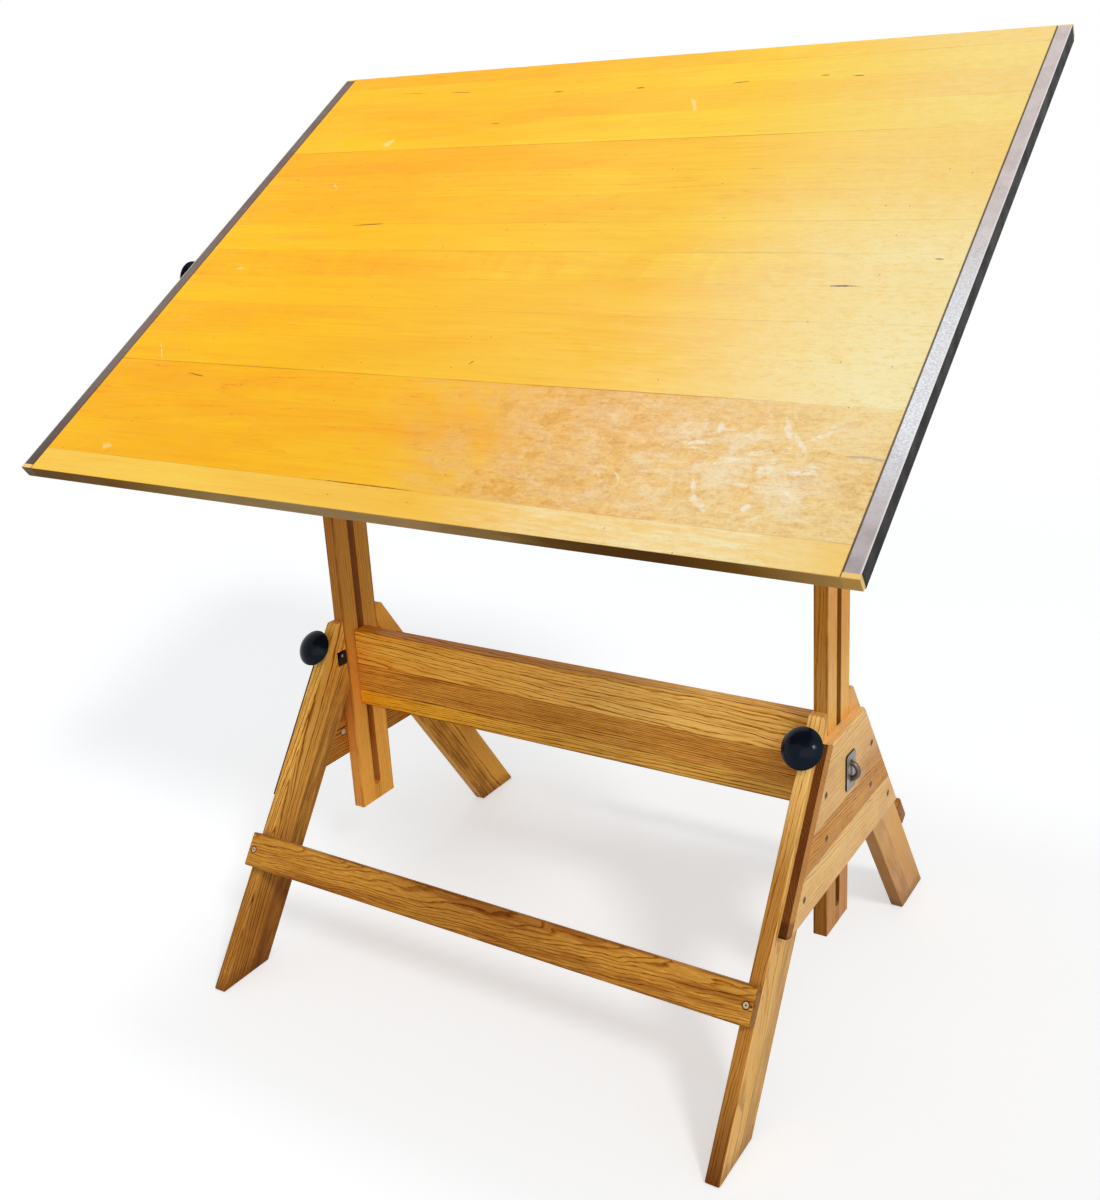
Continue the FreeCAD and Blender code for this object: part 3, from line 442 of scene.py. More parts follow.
class Board:
    """A wood material under way: its recipe, shader, wood group, colour so far and coordinates."""

    def __init__(self, name, group, along, wide, middle, settings, level=0.06):
        self.material, self.recipe, self.shader = new_material(name)
        r = self.recipe
        turn, move = grain_frame(along, wide, middle)
        coordinates = r.add("ShaderNodeTexCoord").outputs
        self.place = coordinates["Object"]
        self.x, self.y, self.z = r.split(self.place)
        self.grain = r.mapped(self.place, turn, move)
        self.facing = r.split(r.mapped(coordinates["Normal"], turn, kind="VECTOR"))
        self.end_facing = r.absolute(self.facing[0])
        self.wood = r.add("ShaderNodeGroup", node_tree=group)
        r.feed(self.wood.inputs["Grain"], self.grain)
        r.feed(self.wood.inputs["Facing"], self.end_facing)
        for key, value in settings.items():
            r.feed(self.wood.inputs[key], value)
        self.colour = self.wood.outputs["Color"]
        self.shader.inputs["Specular IOR Level"].default_value = level
        bump_up(r, self.shader, 0.55, 0.0006, self.wood.outputs["Height"])
        r.feed(self.shader.inputs["Roughness"], self.wood.outputs["Roughness"])

    def paint(self, factor, colour):
        self.colour = self.recipe.blend(factor, self.colour, tone(colour))

    def stain(self, factor, colour):
        self.colour = self.recipe.tint(factor, self.colour, tone(colour))

    def fade(self, axis, start, end, first, last, factor=1.0):
        """Tints the board from first at start to last at end, along X, Y or Z (0, 1 or 2)."""
        r = self.recipe
        along = r.step((self.x, self.y, self.z)[axis], start, end, smooth=False)
        self.colour = r.tint(factor, self.colour, r.blend(along, tone(first), tone(last)))

    def on_edges(self):
        """1 on the two narrow long faces."""
        return self.recipe.step(self.recipe.absolute(self.facing[1]), 0.6, 0.85)

    def dirty_and_shaded_edges(self, half_wide, half_deep, strength=0.8):
        """Long edges are darkened, by dirt where hands reach them and by painted shade along the arrises."""
        r = self.recipe
        _, y, z = r.split(self.grain)
        from_wide = r.minus(half_wide, r.absolute(y))
        from_deep = r.minus(half_deep, r.absolute(z))
        near = r.step(r.most(from_wide, from_deep), 0.0012, 0.0046, 1.0, 0.0)
        rubbed = r.step(r.cloud(self.grain, (16, 90, 90), detail=3.0), 0.40, 0.60, 0.35, 1.0)
        self.stain(r.times(near, r.times(rubbed, strength)), (0.50, 0.40, 0.34))

    def hole_shadow(self, centre, inner, outer, strength=0.85):
        """A painted shadow: a dark ring about a screw or stud, for the recess it sits in."""
        r = self.recipe
        away = r.add("ShaderNodeVectorMath", {0: self.place, 1: centre}, operation="DISTANCE")
        ring = r.step(away.outputs["Value"], inner, outer, 1.0, 0.0)
        self.stain(r.times(ring, strength), (0.12, 0.07, 0.045))

    def finish(self, node):
        self.recipe.feed(self.shader.inputs["Base Color"], self.colour)
        finish_with(node, self.material)


def finish_with(node, material):
    """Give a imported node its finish."""
    mesh = NODES[node].data
    mesh.materials.clear()
    mesh.materials.append(material)


luck = random.Random(7)


def oak_board(node, along, wide, tint, **settings):
    """A varnished oak board for a node: settings are the wood group's inputs, drawn by luck if not given."""
    chosen = {"Seed": round(luck.uniform(0, 40), 3), "Pith across": luck.uniform(-0.02, 0.03),
              "Pith deep": luck.choice((-1, 1)) * luck.uniform(0.06, 0.11),
              "Lean across": luck.uniform(-0.02, 0.02), "Lean deep": luck.uniform(-0.05, 0.05),
              "Ring width": luck.uniform(0.0030, 0.0042), "Tone": tone(tint)}
    chosen.update({key.replace("_", " ").capitalize(): value for key, value in settings.items()})
    return Board("oak " + node.replace("_", " "), OAK_GROUP, along, wide, middle_of(node), chosen)


# ---- Where the screws are: (place of the head, way it faces) ----
def at(x, y, z):
    """A place given from the middle of the table and the floor."""
    return Vector((x + MIDDLE.x, y + MIDDLE.y, z))


def leg_edge_y(z):
    """Y of the front legs' outer edge at height z, from the table's middle."""
    return LEG_FOOT_FRONT + z * math.tan(LEAN)


# Each panel board's screws: height above the panel's foot, and how far in from the leg's middle line.
PANEL_SCREWS = {"lower": (0.031, -0.007), "middle": (0.081, 0.034), "upper": (0.145, -0.012)}
LEG_MIDDLE_X = FRAME_HALF - LEG_THICK / 2


def panel_screw_spots(board, side):
    """The two screws of one panel board, front and back."""
    height, inward = PANEL_SCREWS[board]
    z = PANEL_BOTTOM + height
    y = leg_edge_y(z) + LEG_WIDTH / math.cos(LEAN) / 2 + inward
    return [(at(side * PANEL_OUT, s * y, z), Vector((side, 0, 0))) for s in (1, -1)]


def stretcher_screw_spots(end):
    """The two screws of one stretcher: end is 1 for the front one, -1 for the back one."""
    out = Vector((0, end * OUT_OF_LEG.y, OUT_OF_LEG.z))
    up = Vector((0, end * UP_LEG.y, UP_LEG.z))
    foot = Vector((0, end * LEG_FOOT_FRONT, 0))
    spot = foot + up * (STRETCHER_START + STRETCHER_HEIGHT / 2) + out * STRETCHER_THICK
    return [(at(s * LEG_MIDDLE_X, spot.y, spot.z), out) for s in (-1, 1)]


# ---- Base: legs, with the grain along their lean and the wide face in the Y-Z plane ----
OUT_OF_REAR_LEG = Vector((0, math.cos(LEAN), math.sin(LEAN)))
LEG_LOOKS = (
    ("front_leg_right", UP_LEG, OUT_OF_LEG, (1.06, 1.05, 1.08),
     dict(pith_across=0.012, pith_deep=0.12, lean_deep=0.05, ring_width=0.0040, waviness=2.0, contrast=0.75)),
    ("front_leg_left", UP_LEG, OUT_OF_LEG, (1.0, 1.0, 1.0),
     dict(pith_across=0.016, pith_deep=0.045, lean_deep=0.05, ring_width=0.0042, waviness=1.5, contrast=1.2)),
    ("rear_leg_right", UP_REAR_LEG, OUT_OF_REAR_LEG, (1.08, 1.06, 1.20),
     dict(pith_across=0.075, pith_deep=0.09, lean_deep=0.0, lean_across=0.0, ring_width=0.0026,
          contrast=0.34)),
    ("rear_leg_left", UP_REAR_LEG, OUT_OF_REAR_LEG, (1.30, 1.22, 1.00), {}))
for node, along, wide, tint, extra in LEG_LOOKS:
    board = oak_board(node, along, wide, tint, end_tone=(0.85, 0.78, 0.70, 1), **extra)
    board.dirty_and_shaded_edges(LEG_WIDTH / 2, LEG_THICK / 2)
    r = board.recipe
    if node == "front_leg_right":                  # its front edge is pale at the top and browner below, by painted shade; near the floor, dirt and painted shade
        board.fade(2, 0.31, 0.42, (0.66, 0.58, 0.58), (1.30, 1.54, 2.60), board.on_edges())
        board.stain(r.rest(board.on_edges()), (1.14, 1.22, 1.42))
        board.paint(r.times(r.rest(board.on_edges()), 0.30), (0.82, 0.52, 0.22))
        soiled_and_shaded = r.step(board.z, 0.012, 0.130, 0.95, 0.0)
        board.stain(r.times(soiled_and_shaded, board.on_edges()), (0.46, 0.35, 0.32))
    if node == "front_leg_left":                   # golden at the top, darkened towards the floor by painted shade
        board.fade(2, 0.09, 0.41, (0.56, 0.44, 0.36), (1.34, 1.42, 1.55))
        flecks = r.step(r.cloud(board.grain, (60, 90, 900), detail=2.0), 0.60, 0.68)
        board.stain(r.times(flecks, board.on_edges()), (1.5, 1.6, 1.9))
    if node == "rear_leg_right":                   # pale, with brown edges, darker towards the floor by painted shade
        board.paint(0.5, (0.74, 0.42, 0.18))
        board.stain(board.on_edges(), (0.72, 0.64, 0.55))
        board.fade(2, 0.03, 0.17, (0.84, 0.75, 0.62), (1.10, 1.09, 1.00))
    # every leg's foot is darker: dirt and painted shade
    foot = r.cloud(board.grain, (30, 60, 60), detail=3.0)
    low_down = r.plus(board.z, r.times(foot, 0.03))
    board.stain(r.step(low_down, 0.016, 0.045, 0.75, 0.0), (0.50, 0.42, 0.38))
    board.finish(node)

# Side panels: three boards glued edge to edge, grain from front to back, with dark end grain.
PANEL_LOOKS = (
    ("upper", (1.12, 1.13, 1.20),
     dict(pith_across=0.09, pith_deep=0.12, lean_deep=0.02, ring_width=0.0024, contrast=1.35)),
    ("middle", (0.98, 0.89, 1.02), dict(pith_across=0.06, ring_width=0.0024, contrast=1.0)),
    ("lower", (1.12, 1.13, 1.20), dict(pith_across=0.06, pith_deep=0.10, ring_width=0.0026, contrast=1.3)))
stud = middle_of("guide_studs")
for side, sign in (("left", -1), ("right", 1)):
    for part, tint, extra in PANEL_LOOKS:
        node = "side_panel_%s_%s" % (side, part)
        board = oak_board(node, AWAY, UP, tint, end_tone=(0.18, 0.095, 0.085, 1), **extra)
        r = board.recipe
        if side == "right" and part != "middle":   # paler than the board between them
            board.paint(r.step(board.end_facing, 0.3, 0.6, 0.40, 0.0), (1.0, 0.74, 0.46))
            board.stain(r.step(board.end_facing, 0.3, 0.6, 1.0, 0.0), (1.12, 1.13, 1.02))
        bevel = r.band(board.end_facing, 0.25, 0.45, 0.64, 0.74)
        board.paint(r.times(bevel, 0.7), (0.57, 0.28, 0.10))
        if side == "left":
            board.stain(1.0, (0.80, 0.68, 0.55))
        else:                                      # slightly browner in patches
            patch = r.cloud(board.place, (1, 9, 14), detail=3.0)
            board.stain(r.step(patch, 0.42, 0.66), (0.92, 0.86, 0.84))
            if part == "upper":                    # browned behind the loop, above the joint
                low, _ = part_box(node)
                behind = r.plus(board.y, r.centred(patch, 0.10))
                above_joint = r.step(board.z, low.z + 0.012, low.z + 0.060, 1.0, 0.0)
                shade = r.times(r.step(behind, MIDDLE.y - 0.01, MIDDLE.y + 0.05), above_joint)
                board.stain(shade, (0.76, 0.64, 0.60))
        if part == "lower":                        # dirty at its foot, most of all on the end grain
            tip = r.step(board.z, PANEL_BOTTOM + 0.014, PANEL_BOTTOM + 0.020, 0.7, 0.0)
            board.stain(r.times(tip, r.step(board.end_facing, 0.3, 0.6)), (0.40, 0.32, 0.32))
            under = r.step(board.z, PANEL_BOTTOM + 0.0005, PANEL_BOTTOM + 0.004, 0.7, 0.0)
            board.stain(under, (0.45, 0.36, 0.30))
        for spot, _ in panel_screw_spots(part, sign):
            board.hole_shadow(spot, inner=0.0042, outer=0.0062, strength=0.6)
        board.hole_shadow(Vector((MIDDLE.x + sign * FRAME_HALF, stud.y, stud.z)), inner=0.0056, outer=0.0076)
        board.finish(node)

# Wide rail: three boards, grain from side to side; more orange towards its left end.
RAIL_LOOKS = (
    ("upper", (1.08, 1.10, 1.06),
     dict(pith_across=-0.036, pith_deep=0.05, lean_deep=0.02, lean_across=-0.012, ring_width=0.0047,
          waviness=2.0, contrast=1.02), ((1.34, 1.22, 0.86), (1.22, 1.32, 1.78))),
    ("middle", (0.94, 0.86, 0.78), dict(pith_across=0.085, pith_deep=0.05, ring_width=0.0026, contrast=1.35),
     ((1.26, 1.12, 0.84), (1.02, 1.02, 1.10))),
    ("lower", (1.08, 1.08, 1.04), dict(pith_across=0.05, pith_deep=0.06, ring_width=0.0034, contrast=1.1),
     ((1.44, 1.28, 0.34), (1.04, 1.12, 1.28))))
for part, tint, extra, ends in RAIL_LOOKS:
    node = "wide_rail_" + part
    board = oak_board(node, RIGHT, UP, tint, **extra)
    r = board.recipe
    low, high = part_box(node)
    board.fade(0, -0.34, 0.12, *ends)
    lines = r.cloud(board.grain, (14, 420, 420), detail=3.0)
    board.stain(r.step(lines, 0.50, 0.66, 0.0, 0.6), (0.64, 0.54, 0.42))
    board.stain(r.step(lines, 0.36, 0.48, 0.5, 0.0), (1.22, 1.20, 1.15))
    if part == "upper":                            # its top face, under the drawing board, is darkened by painted shade, more so to the left
        shaded_top_face = r.step(board.z, high.z - 0.003, high.z - 0.0008)
        board.stain(r.times(shaded_top_face, r.step(board.x, -0.10, 0.34, 0.95, 0.20)), (0.62, 0.49, 0.26))
    if part == "middle":                           # dark streaks along the joint, at the left
        streak = r.cloud(board.grain, (7, 210, 210), detail=3.0)
        joint = r.step(board.z, high.z - 0.016, high.z - 0.001)
        place = r.times(r.step(board.x, -0.30, 0.0, 1.0, 0.0), joint)
        board.stain(r.times(place, r.step(streak, 0.38, 0.55)), (0.62, 0.40, 0.28))
    if part == "lower":
        board.stain(r.step(board.z, low.z + 0.0006, low.z + 0.005, 0.85, 0.0), (0.40, 0.30, 0.26))
    board.finish(node)

# Stretchers: brown streaks and pale flecks, duller in the middle.
for node, along, end in (("front_stretcher", UP_LEG, 1), ("rear_stretcher", UP_REAR_LEG, -1)):
    board = oak_board(node, RIGHT, along, (0.82, 0.73, 0.60), end_tone=(0.58, 0.54, 0.58, 1),
                      pith_across=0.02, pith_deep=0.05, lean_across=0.02, lean_deep=0.03,
                      ring_width=0.0024, waviness=1.8, contrast=0.95)
    r = board.recipe
    dull = r.step(r.absolute(r.split(board.grain)[0]), 0.05, 0.25, 1.0, 0.0)
    board.stain(dull, (0.82, 0.80, 0.84))
    brown = r.cloud(board.grain, (5, 75, 75), detail=4.0, rough=0.6)
    board.stain(r.step(brown, 0.46, 0.64, 0.0, 0.85), (0.60, 0.46, 0.40))
    flecks = r.cloud(board.grain, (45, 520, 520), detail=2.0)
    board.stain(r.step(flecks, 0.56, 0.68, 0.0, 0.7), (1.4, 1.42, 1.5))
    board.dirty_and_shaded_edges(STRETCHER_HEIGHT / 2, STRETCHER_THICK / 2, 0.9)
    for spot, _ in stretcher_screw_spots(end):
        board.hole_shadow(spot, inner=0.0044, outer=0.0066, strength=1.0)
        if spot.x > MIDDLE.x:                      # an old nail hole beside the right-hand screw
            board.hole_shadow(spot + RIGHT * 0.0072, inner=0.0008, outer=0.0020, strength=0.9)
    board.finish(node)

# Masts: the front edges are darker; painted shade darkens the slots inside.
for side, tint, front in (("left", (0.94, 0.85, 0.74), (0.79, 0.70, 0.74)),
                          ("right", (0.94, 0.84, 0.78), (0.66, 0.58, 0.46))):
    node = "mast_" + side
    board = oak_board(node, UP, AWAY, tint, pith_across=0.07, lean_deep=0.006, ring_width=0.0030,
                      contrast=0.58, end_tone=(0.8, 0.7, 0.62, 1))
    r = board.recipe
    if side == "left":                             # paler below the rail than above it
        board.fade(2, 0.28, 0.50, (1.78, 1.78, 1.86), (1.0, 0.98, 0.98))
    board.stain(r.step(board.facing[1], -0.9, -0.6, 1.0, 0.0), front)
    # painted shade on the slot's walls and along its mouth
    from_slot = r.minus(r.absolute(r.minus(board.y, MIDDLE.y)), MAST_SLOT_HALF)
    board.stain(r.times(r.step(from_slot, 0.0001, 0.0011, 0.6, 0.0), board.on_edges()), (0.56, 0.48, 0.36))
    board.stain(r.step(from_slot, -0.0005, 0.0011, 0.45, 0.0), (0.60, 0.50, 0.40))
    if side == "right":                            # palest just above the panel, brown below it
        board.stain(r.step(r.absolute(board.facing[2]), 0.6, 0.9), (1.16, 1.16, 1.26))
        board.stain(r.band(board.z, 0.44, 0.47, 0.50, 0.59), (1.14, 1.34, 1.85))
        board.stain(r.step(board.z, 0.22, 0.30, 1.0, 0.0), (0.72, 0.68, 0.84))
    board.dirty_and_shaded_edges(MAST_DEPTH / 2, MAST_THICK / 2)
    board.finish(node)

for side in ("left", "right"):
    node = "tilt_bearer_" + side
    board = oak_board(node, ALONG_TOP, OFF_TOP, (0.85, 0.78, 0.70), ring_width=0.0034)
    board.finish(node)

# ---- Top: strips from the front edge to the back one ----
# Each strip's green share at the left and at the right, contrast, figure, ring width in mm and how
# deep the pith lies, in metres.
STRIP_LOOKS = (
    (1.14, 0.97, 0.9, 0.0, 4.0, 0.09), (0.93, 1.00, 1.3, 0.15, 3.6, 0.12),
    (0.90, 0.92, 1.3, 0.25, 4.4, 0.10), (0.91, 0.90, 1.4, 0.3, 3.2, 0.12),
    (1.00, 1.02, 0.9, 0.0, 5.0, 0.08), (0.97, 1.00, 1.1, 0.2, 4.2, 0.10),
    (1.00, 1.01, 1.0, 0.1, 3.8, 0.11), (0.92, 1.05, 1.2, 0.9, 4.6, 0.09),
    (1.01, 1.08, 1.0, 0.0, 4.4, 0.12), (0.92, 1.04, 1.2, 0.2, 3.4, 0.10),
    (0.97, 1.06, 1.6, 0.1, 4.2, 0.030), (0.85, 1.01, 1.1, 0.25, 3.6, 0.11),
    (0.99, 1.16, 0.9, 0.0, 4.2, 0.08), (0.94, 1.06, 1.0, 0.3, 3.8, 0.12),
    (0.95, 1.16, 1.0, 0.1, 4.0, 0.10), (0.84, 1.06, 1.0, 0.1, 3.4, 0.09))
# How dark each seam is, from the front edge to the back one.
SEAMS = (0.0, 0.35, 0.12, 0.10, 0.95, 0.12, 0.22, 0.15, 0.45, 0.35, 0.18, 0.22, 0.85, 0.15, 0.12, 0.30, 0.0)
# The middle of the front edge, brought square to the top into the plane of the pivot line.
TOP_START = MIDDLE - ALONG_TOP * PIVOT_FROM_FRONT


def top_place(r, coordinates):
    """Place on the top: x from its middle, y from its front edge, z off the pivot line."""
    turn, move = grain_frame(RIGHT, ALONG_TOP, TOP_START)
    return r.mapped(coordinates, turn, move)


def strip_tint(share, blue):
    """Paler strips are yellower and carry more blue; darker ones lean to orange."""
    return (min(1.0, 0.97 + 0.03 * share), share, blue * (0.8 + 0.4 * max(0.0, share - 0.85) / 0.15))


SEAM_HALF = 0.0011
# The front edge's colours from left to right: painted shade on its face, which looks down and forward.
FRONT_EDGE_SHADE = (
    (0.05, (0.20, 0.090, 0.003)), (0.15, (0.25, 0.105, 0.004)), (0.21, (0.335, 0.175, 0.020)),
    (0.31, (0.47, 0.31, 0.11)), (0.42, (0.50, 0.35, 0.16)), (0.55, (0.575, 0.35, 0.145)),
    (0.66, (0.37, 0.225, 0.065)), (0.71, (0.21, 0.10, 0.015)), (0.77, (0.136, 0.055, 0.003)),
    (0.83, (0.14, 0.05, 0.002)), (0.90, (0.26, 0.12, 0.014)), (1.0, (0.72, 0.44, 0.14)))
front_y = 0.0
for index, (width_mm, looks) in enumerate(zip(STRIP_WIDTHS_MM, STRIP_LOOKS)):
    left, right, contrast, figure, ring, pith = looks
    width = width_mm / 1000
    middle = TOP_START + ALONG_TOP * (front_y + width / 2) + OFF_TOP * (SURFACE_ABOVE_PIVOT - TOP_THICK / 2)
    settings = {"Seed": round(luck.uniform(0, 40), 3),
                "Pith across": luck.uniform(-0.06, 0.06) if pith > 0.05 else 0.004, "Pith deep": -pith,
                "Lean across": luck.uniform(-0.03, 0.03), "Lean deep": luck.uniform(-0.03, 0.03),
                "Ring width": ring / 1000, "Waviness": 1.2, "Contrast": contrast, "Figure": figure}
    board = Board("strip %02d" % (index + 1), STRIP_GROUP, RIGHT, ALONG_TOP, middle, settings,
                  level=0.11 if index else 0.02)
    r = board.recipe
    place = top_place(r, board.place)
    x, y, _ = r.split(place)
    ragged = r.plus(x, r.centred(r.cloud(place, (5, 30, 1), detail=3.0), 0.5))
    left_tint = strip_tint(left, 0.25 if index else 3.2)
    right_tint = strip_tint(right * 1.05, 1.0)
    across = r.step(ragged, -0.30, 0.30)
    r.feed(board.wood.inputs["Tone"], r.blend(across, tone(left_tint), tone(right_tint)))
    wear_and_glare = r.add("ShaderNodeGroup", {"Place": place}, node_tree=TOP_WEAR_AND_GLARE).outputs
    fine = r.cloud(place, (9, 340, 340), detail=3.0, rough=0.6)
    board.stain(r.step(fine, 0.50, 0.70, 0.0, 0.55), (0.95, 0.86, 0.66))
    glow = r.cloud(place, (3.2, 26, 26), detail=3.0)
    glow = r.times(r.step(glow, 0.46, 0.68, 0.0, 0.6), r.step(x, -0.1, 0.4, 1.0, 0.3))
    board.stain(glow, (0.99, 0.89, 0.70))
    if index == 0:
        board.paint(0.12, (1.0, 0.80, 0.42))
    unworn = board.colour

    # The worn zone: dulled and gritty, then bleached and lit by painted glare, scuffed and smeared.
    streak = r.cloud(place, (75, 190, 190), detail=6.0, rough=0.78)
    dulled = r.blend(r.step(x, -0.12, 0.24), tone((0.92, 0.50, 0.10)), tone((0.84, 0.515, 0.215)))
    board.colour = r.blend(r.times(wear_and_glare["Dull"], 0.80), board.colour, dulled)
    gritty = r.times(wear_and_glare["Dull"], r.step(x, 0.02, 0.32, 0.40, 1.0))
    board.stain(r.times(gritty, r.step(streak, 0.49, 0.63, 0.0, 0.9)), (0.84, 0.68, 0.44))
    pale = r.times(r.step(streak, 0.36, 0.50, 0.42, 0.0), r.step(x, -0.05, 0.30, 0.25, 1.0))
    board.paint(r.times(wear_and_glare["Dull"], pale), (1.0, 0.76, 0.42))
    board.paint(r.times(wear_and_glare["Brown"], 0.55), (0.72, 0.34, 0.06))
    board.paint(wear_and_glare["Bleach and glare"], (1.0, 0.89, 0.50) if index else (1.0, 0.86, 0.50))
    board.paint(r.times(r.times(wear_and_glare["Brown"], r.step(x, 0.25, 0.5)), 0.35), (0.80, 0.50, 0.18))
    board.stain(r.times(wear_and_glare["Bleach and glare"], r.step(streak, 0.47, 0.66, 0.0, 0.9)), (0.95, 0.81, 0.56))
    crumbs = r.step(r.cloud(place, (170, 230, 1), detail=3.0, rough=0.7), 0.50, 0.62)
    crumbs = r.times(crumbs, r.plus(r.times(gritty, 0.35), r.times(wear_and_glare["Brown"], 0.4)))
    board.stain(crumbs, (0.84, 0.62, 0.34))
    board.paint(r.times(wear_and_glare["Bleach and glare"], r.step(streak, 0.34, 0.48, 0.40, 0.0)), (1.0, 0.90, 0.62))
    board.paint(r.times(wear_and_glare["Scuff"], 0.80), (1.0, 0.93, 0.74))
    board.paint(r.times(wear_and_glare["Blue smear"], 0.60), (0.36, 0.39, 0.40))
    board.paint(r.times(wear_and_glare["Pale spot"], 0.40), (1.0, 0.85, 0.42))

    # A thin dirty line where two strips meet, and a dark one beside the edge caps.
    broken = r.step(r.cloud(place, (7, 40, 1)), 0.35, 0.6, 0.45, 1.0)
    for seam_y, strength in ((front_y, SEAMS[index]), (front_y + width, SEAMS[index + 1])):
        if strength:
            gap = r.absolute(r.minus(y, seam_y))
            reach = r.step(x, 0.36, 0.52, 1.0, 0.15) if strength > 0.4 else 1.0
            line = r.times(r.step(gap, 0.0, SEAM_HALF, strength, 0.0), r.times(broken, reach))
            board.stain(line, (0.50, 0.30, 0.25))
    board.stain(r.step(r.absolute(x), CAP_EDGE - 0.0020, CAP_EDGE - 0.0006, 0.0, 0.95), (0.16, 0.10, 0.08))
    board.stain(r.times(wear_and_glare["Dirt"], 0.9), (0.30, 0.20, 0.20))
    board.paint(r.times(wear_and_glare["Ink"], 0.85), (0.10, 0.09, 0.12))
    underneath = r.step(board.facing[2], -0.6, -0.3, 1.0, 0.0)
    plain = r.blend(1.0, unworn, (0.88, 0.86, 0.86, 1), "MULTIPLY")
    board.colour = r.blend(underneath, board.colour, plain)
    if index == 0:                                 # the front edge face carries painted shade, lighter in its middle and at its right end
        front_face_shade = r.step(r.times(board.facing[1], -1.0), 0.55, 0.85)
        smear = r.cloud(place, (9, 60, 60), detail=3.0)
        spread = r.plus(r.times(r.plus(x, TOP_HALF), 0.82), r.centred(smear, 0.06))
        edge = r.shades(spread, *FRONT_EDGE_SHADE)
        edge = r.tint(r.step(smear, 0.35, 0.65, 0.0, 0.5), edge, (0.80, 0.72, 0.62, 1))
        board.colour = r.blend(front_face_shade, board.colour, edge)
    rough = r.plus(board.wood.outputs["Roughness"], r.times(wear_and_glare["Scuff"], 0.12))
    r.feed(board.shader.inputs["Roughness"], r.minus(rough, r.times(wear_and_glare["Bleach and glare"], 0.06)))
    board.finish("plank_%02d" % (index + 1))
    front_y += width

for side, sign in (("left", -1), ("right", 1)):
    node = "batten_" + side
    settings = {"Seed": 3.0 + sign, "Pith across": 0.01, "Pith deep": -0.05, "Ring width": 0.003,
                "Contrast": 1.1, "End tone": (0.80, 0.74, 0.9, 1)}
    board = Board("batten " + side, STRIP_GROUP, ALONG_TOP, RIGHT, middle_of(node), settings)
    board.paint(0.78, (0.92, 0.68, 0.27))
    front_end = board.recipe.step(board.recipe.times(board.facing[0], -1.0), 0.5, 0.8)
    board.stain(front_end, (0.17, 0.15, 0.10) if sign < 0 else (0.80, 0.66, 0.46))
    board.finish(node)


# ---- Metals and plastics ----
def metal_material(name, base, dark, roughness, metallic, speckle, scratch_along, level=0.5):
    """Dull metal: mottled, speckled and scratched along one way. Returns its parts to add to."""
    material, r, shader = new_material(name)
    coordinates = r.add("ShaderNodeTexCoord").outputs
    place = coordinates["Object"]
    mottle = r.noise(place, detail=4.0, rough=0.6, scale=38)
    grit = r.noise(place, detail=1.0, scale=900)
    lines = r.cloud(place, scratch_along, detail=2.0)
    value = r.plus(r.times(r.step(mottle, 0.3, 0.7), 0.5), r.times(r.step(grit, 0.52, 0.68), speckle))
    value = r.plus(value, r.times(r.step(lines, 0.58, 0.7), 0.25), clamp=True)
    colour = r.shades(value, (0.0, base), (1.0, dark))
    r.feed(shader.inputs["Base Color"], colour)
    r.feed(shader.inputs["Roughness"], r.step(mottle, 0.3, 0.7, roughness - 0.08, roughness + 0.10))
    bump_up(r, shader, 0.25, 0.0003, grit)
    shader.inputs["Metallic"].default_value = metallic
    shader.inputs["Specular IOR Level"].default_value = level
    return material, r, shader, colour, coordinates


def cap_material(name, base, dark, bright):
    """Painted steel edge: pale on top, with painted light on it: a highlight along the rim, a bright
    reflection on a stretch rubbed by wear, a dark reflection painted black at the sides and painted shade
    underneath.
    """
    material, r, shader, colour, coordinates = metal_material(
        name, base, dark, 0.40, 0.25, 0.35, (700, 12, 12), 0.04)
    place = top_place(r, coordinates["Object"])
    x, y, _ = r.split(place)
    # a stretch of wear, bright with a painted reflection
    wear_and_glare = r.band(y, 0.04, 0.20, 0.34, 0.58)
    flecks = r.step(r.noise(place, detail=1.0, scale=420), 0.40, 0.62)
    colour = r.blend(r.times(wear_and_glare, r.plus(0.35, r.times(flecks, 0.6))), colour, tone(bright))
    near_end = r.step(y, 0.02, 0.22, 1.0, 0.0)
    colour = r.tint(near_end, colour, (0.66, 0.66, 0.69, 1))
    out = r.absolute(x)
    normal = r.split(coordinates["Normal"])
    side = r.step(r.absolute(normal[0]), 0.5, 0.85)
    # a painted highlight along the outer rim
    rim = r.times(r.step(out, TOP_HALF - 0.0024, TOP_HALF - 0.0012), r.rest(side))
    colour = r.blend(r.times(rim, 0.6), colour, (0.88, 0.86, 0.84, 1))
    joint = r.times(r.step(out, CAP_EDGE + 0.0004, CAP_EDGE + 0.0016, 1.0, 0.0), r.rest(side))
    colour = r.blend(r.times(joint, 0.9), colour, (0.035, 0.025, 0.022, 1))
    # the sides are painted near black for the dark they reflect; the underside is painted shade
    scrape = r.step(r.cloud(place, (60, 14, 60), detail=3.0), 0.55, 0.72, 0.0, 0.25)
    black = r.blend(scrape, (0.005, 0.0045, 0.0045, 1), (0.03, 0.027, 0.024, 1))
    colour = r.blend(side, colour, black)
    under = r.step(normal[2], -0.2, 0.1, 1.0, 0.0)
    colour = r.blend(under, colour, (0.05, 0.046, 0.043, 1))
    r.feed(shader.inputs["Base Color"], colour)
    r.feed(shader.inputs["Metallic"], r.step(side, 0.0, 1.0, 0.25, 0.0))
    return material


cap_right = cap_material("edge cap right", (0.70, 0.62, 0.60), (0.46, 0.40, 0.385), (0.80, 0.86, 0.92))
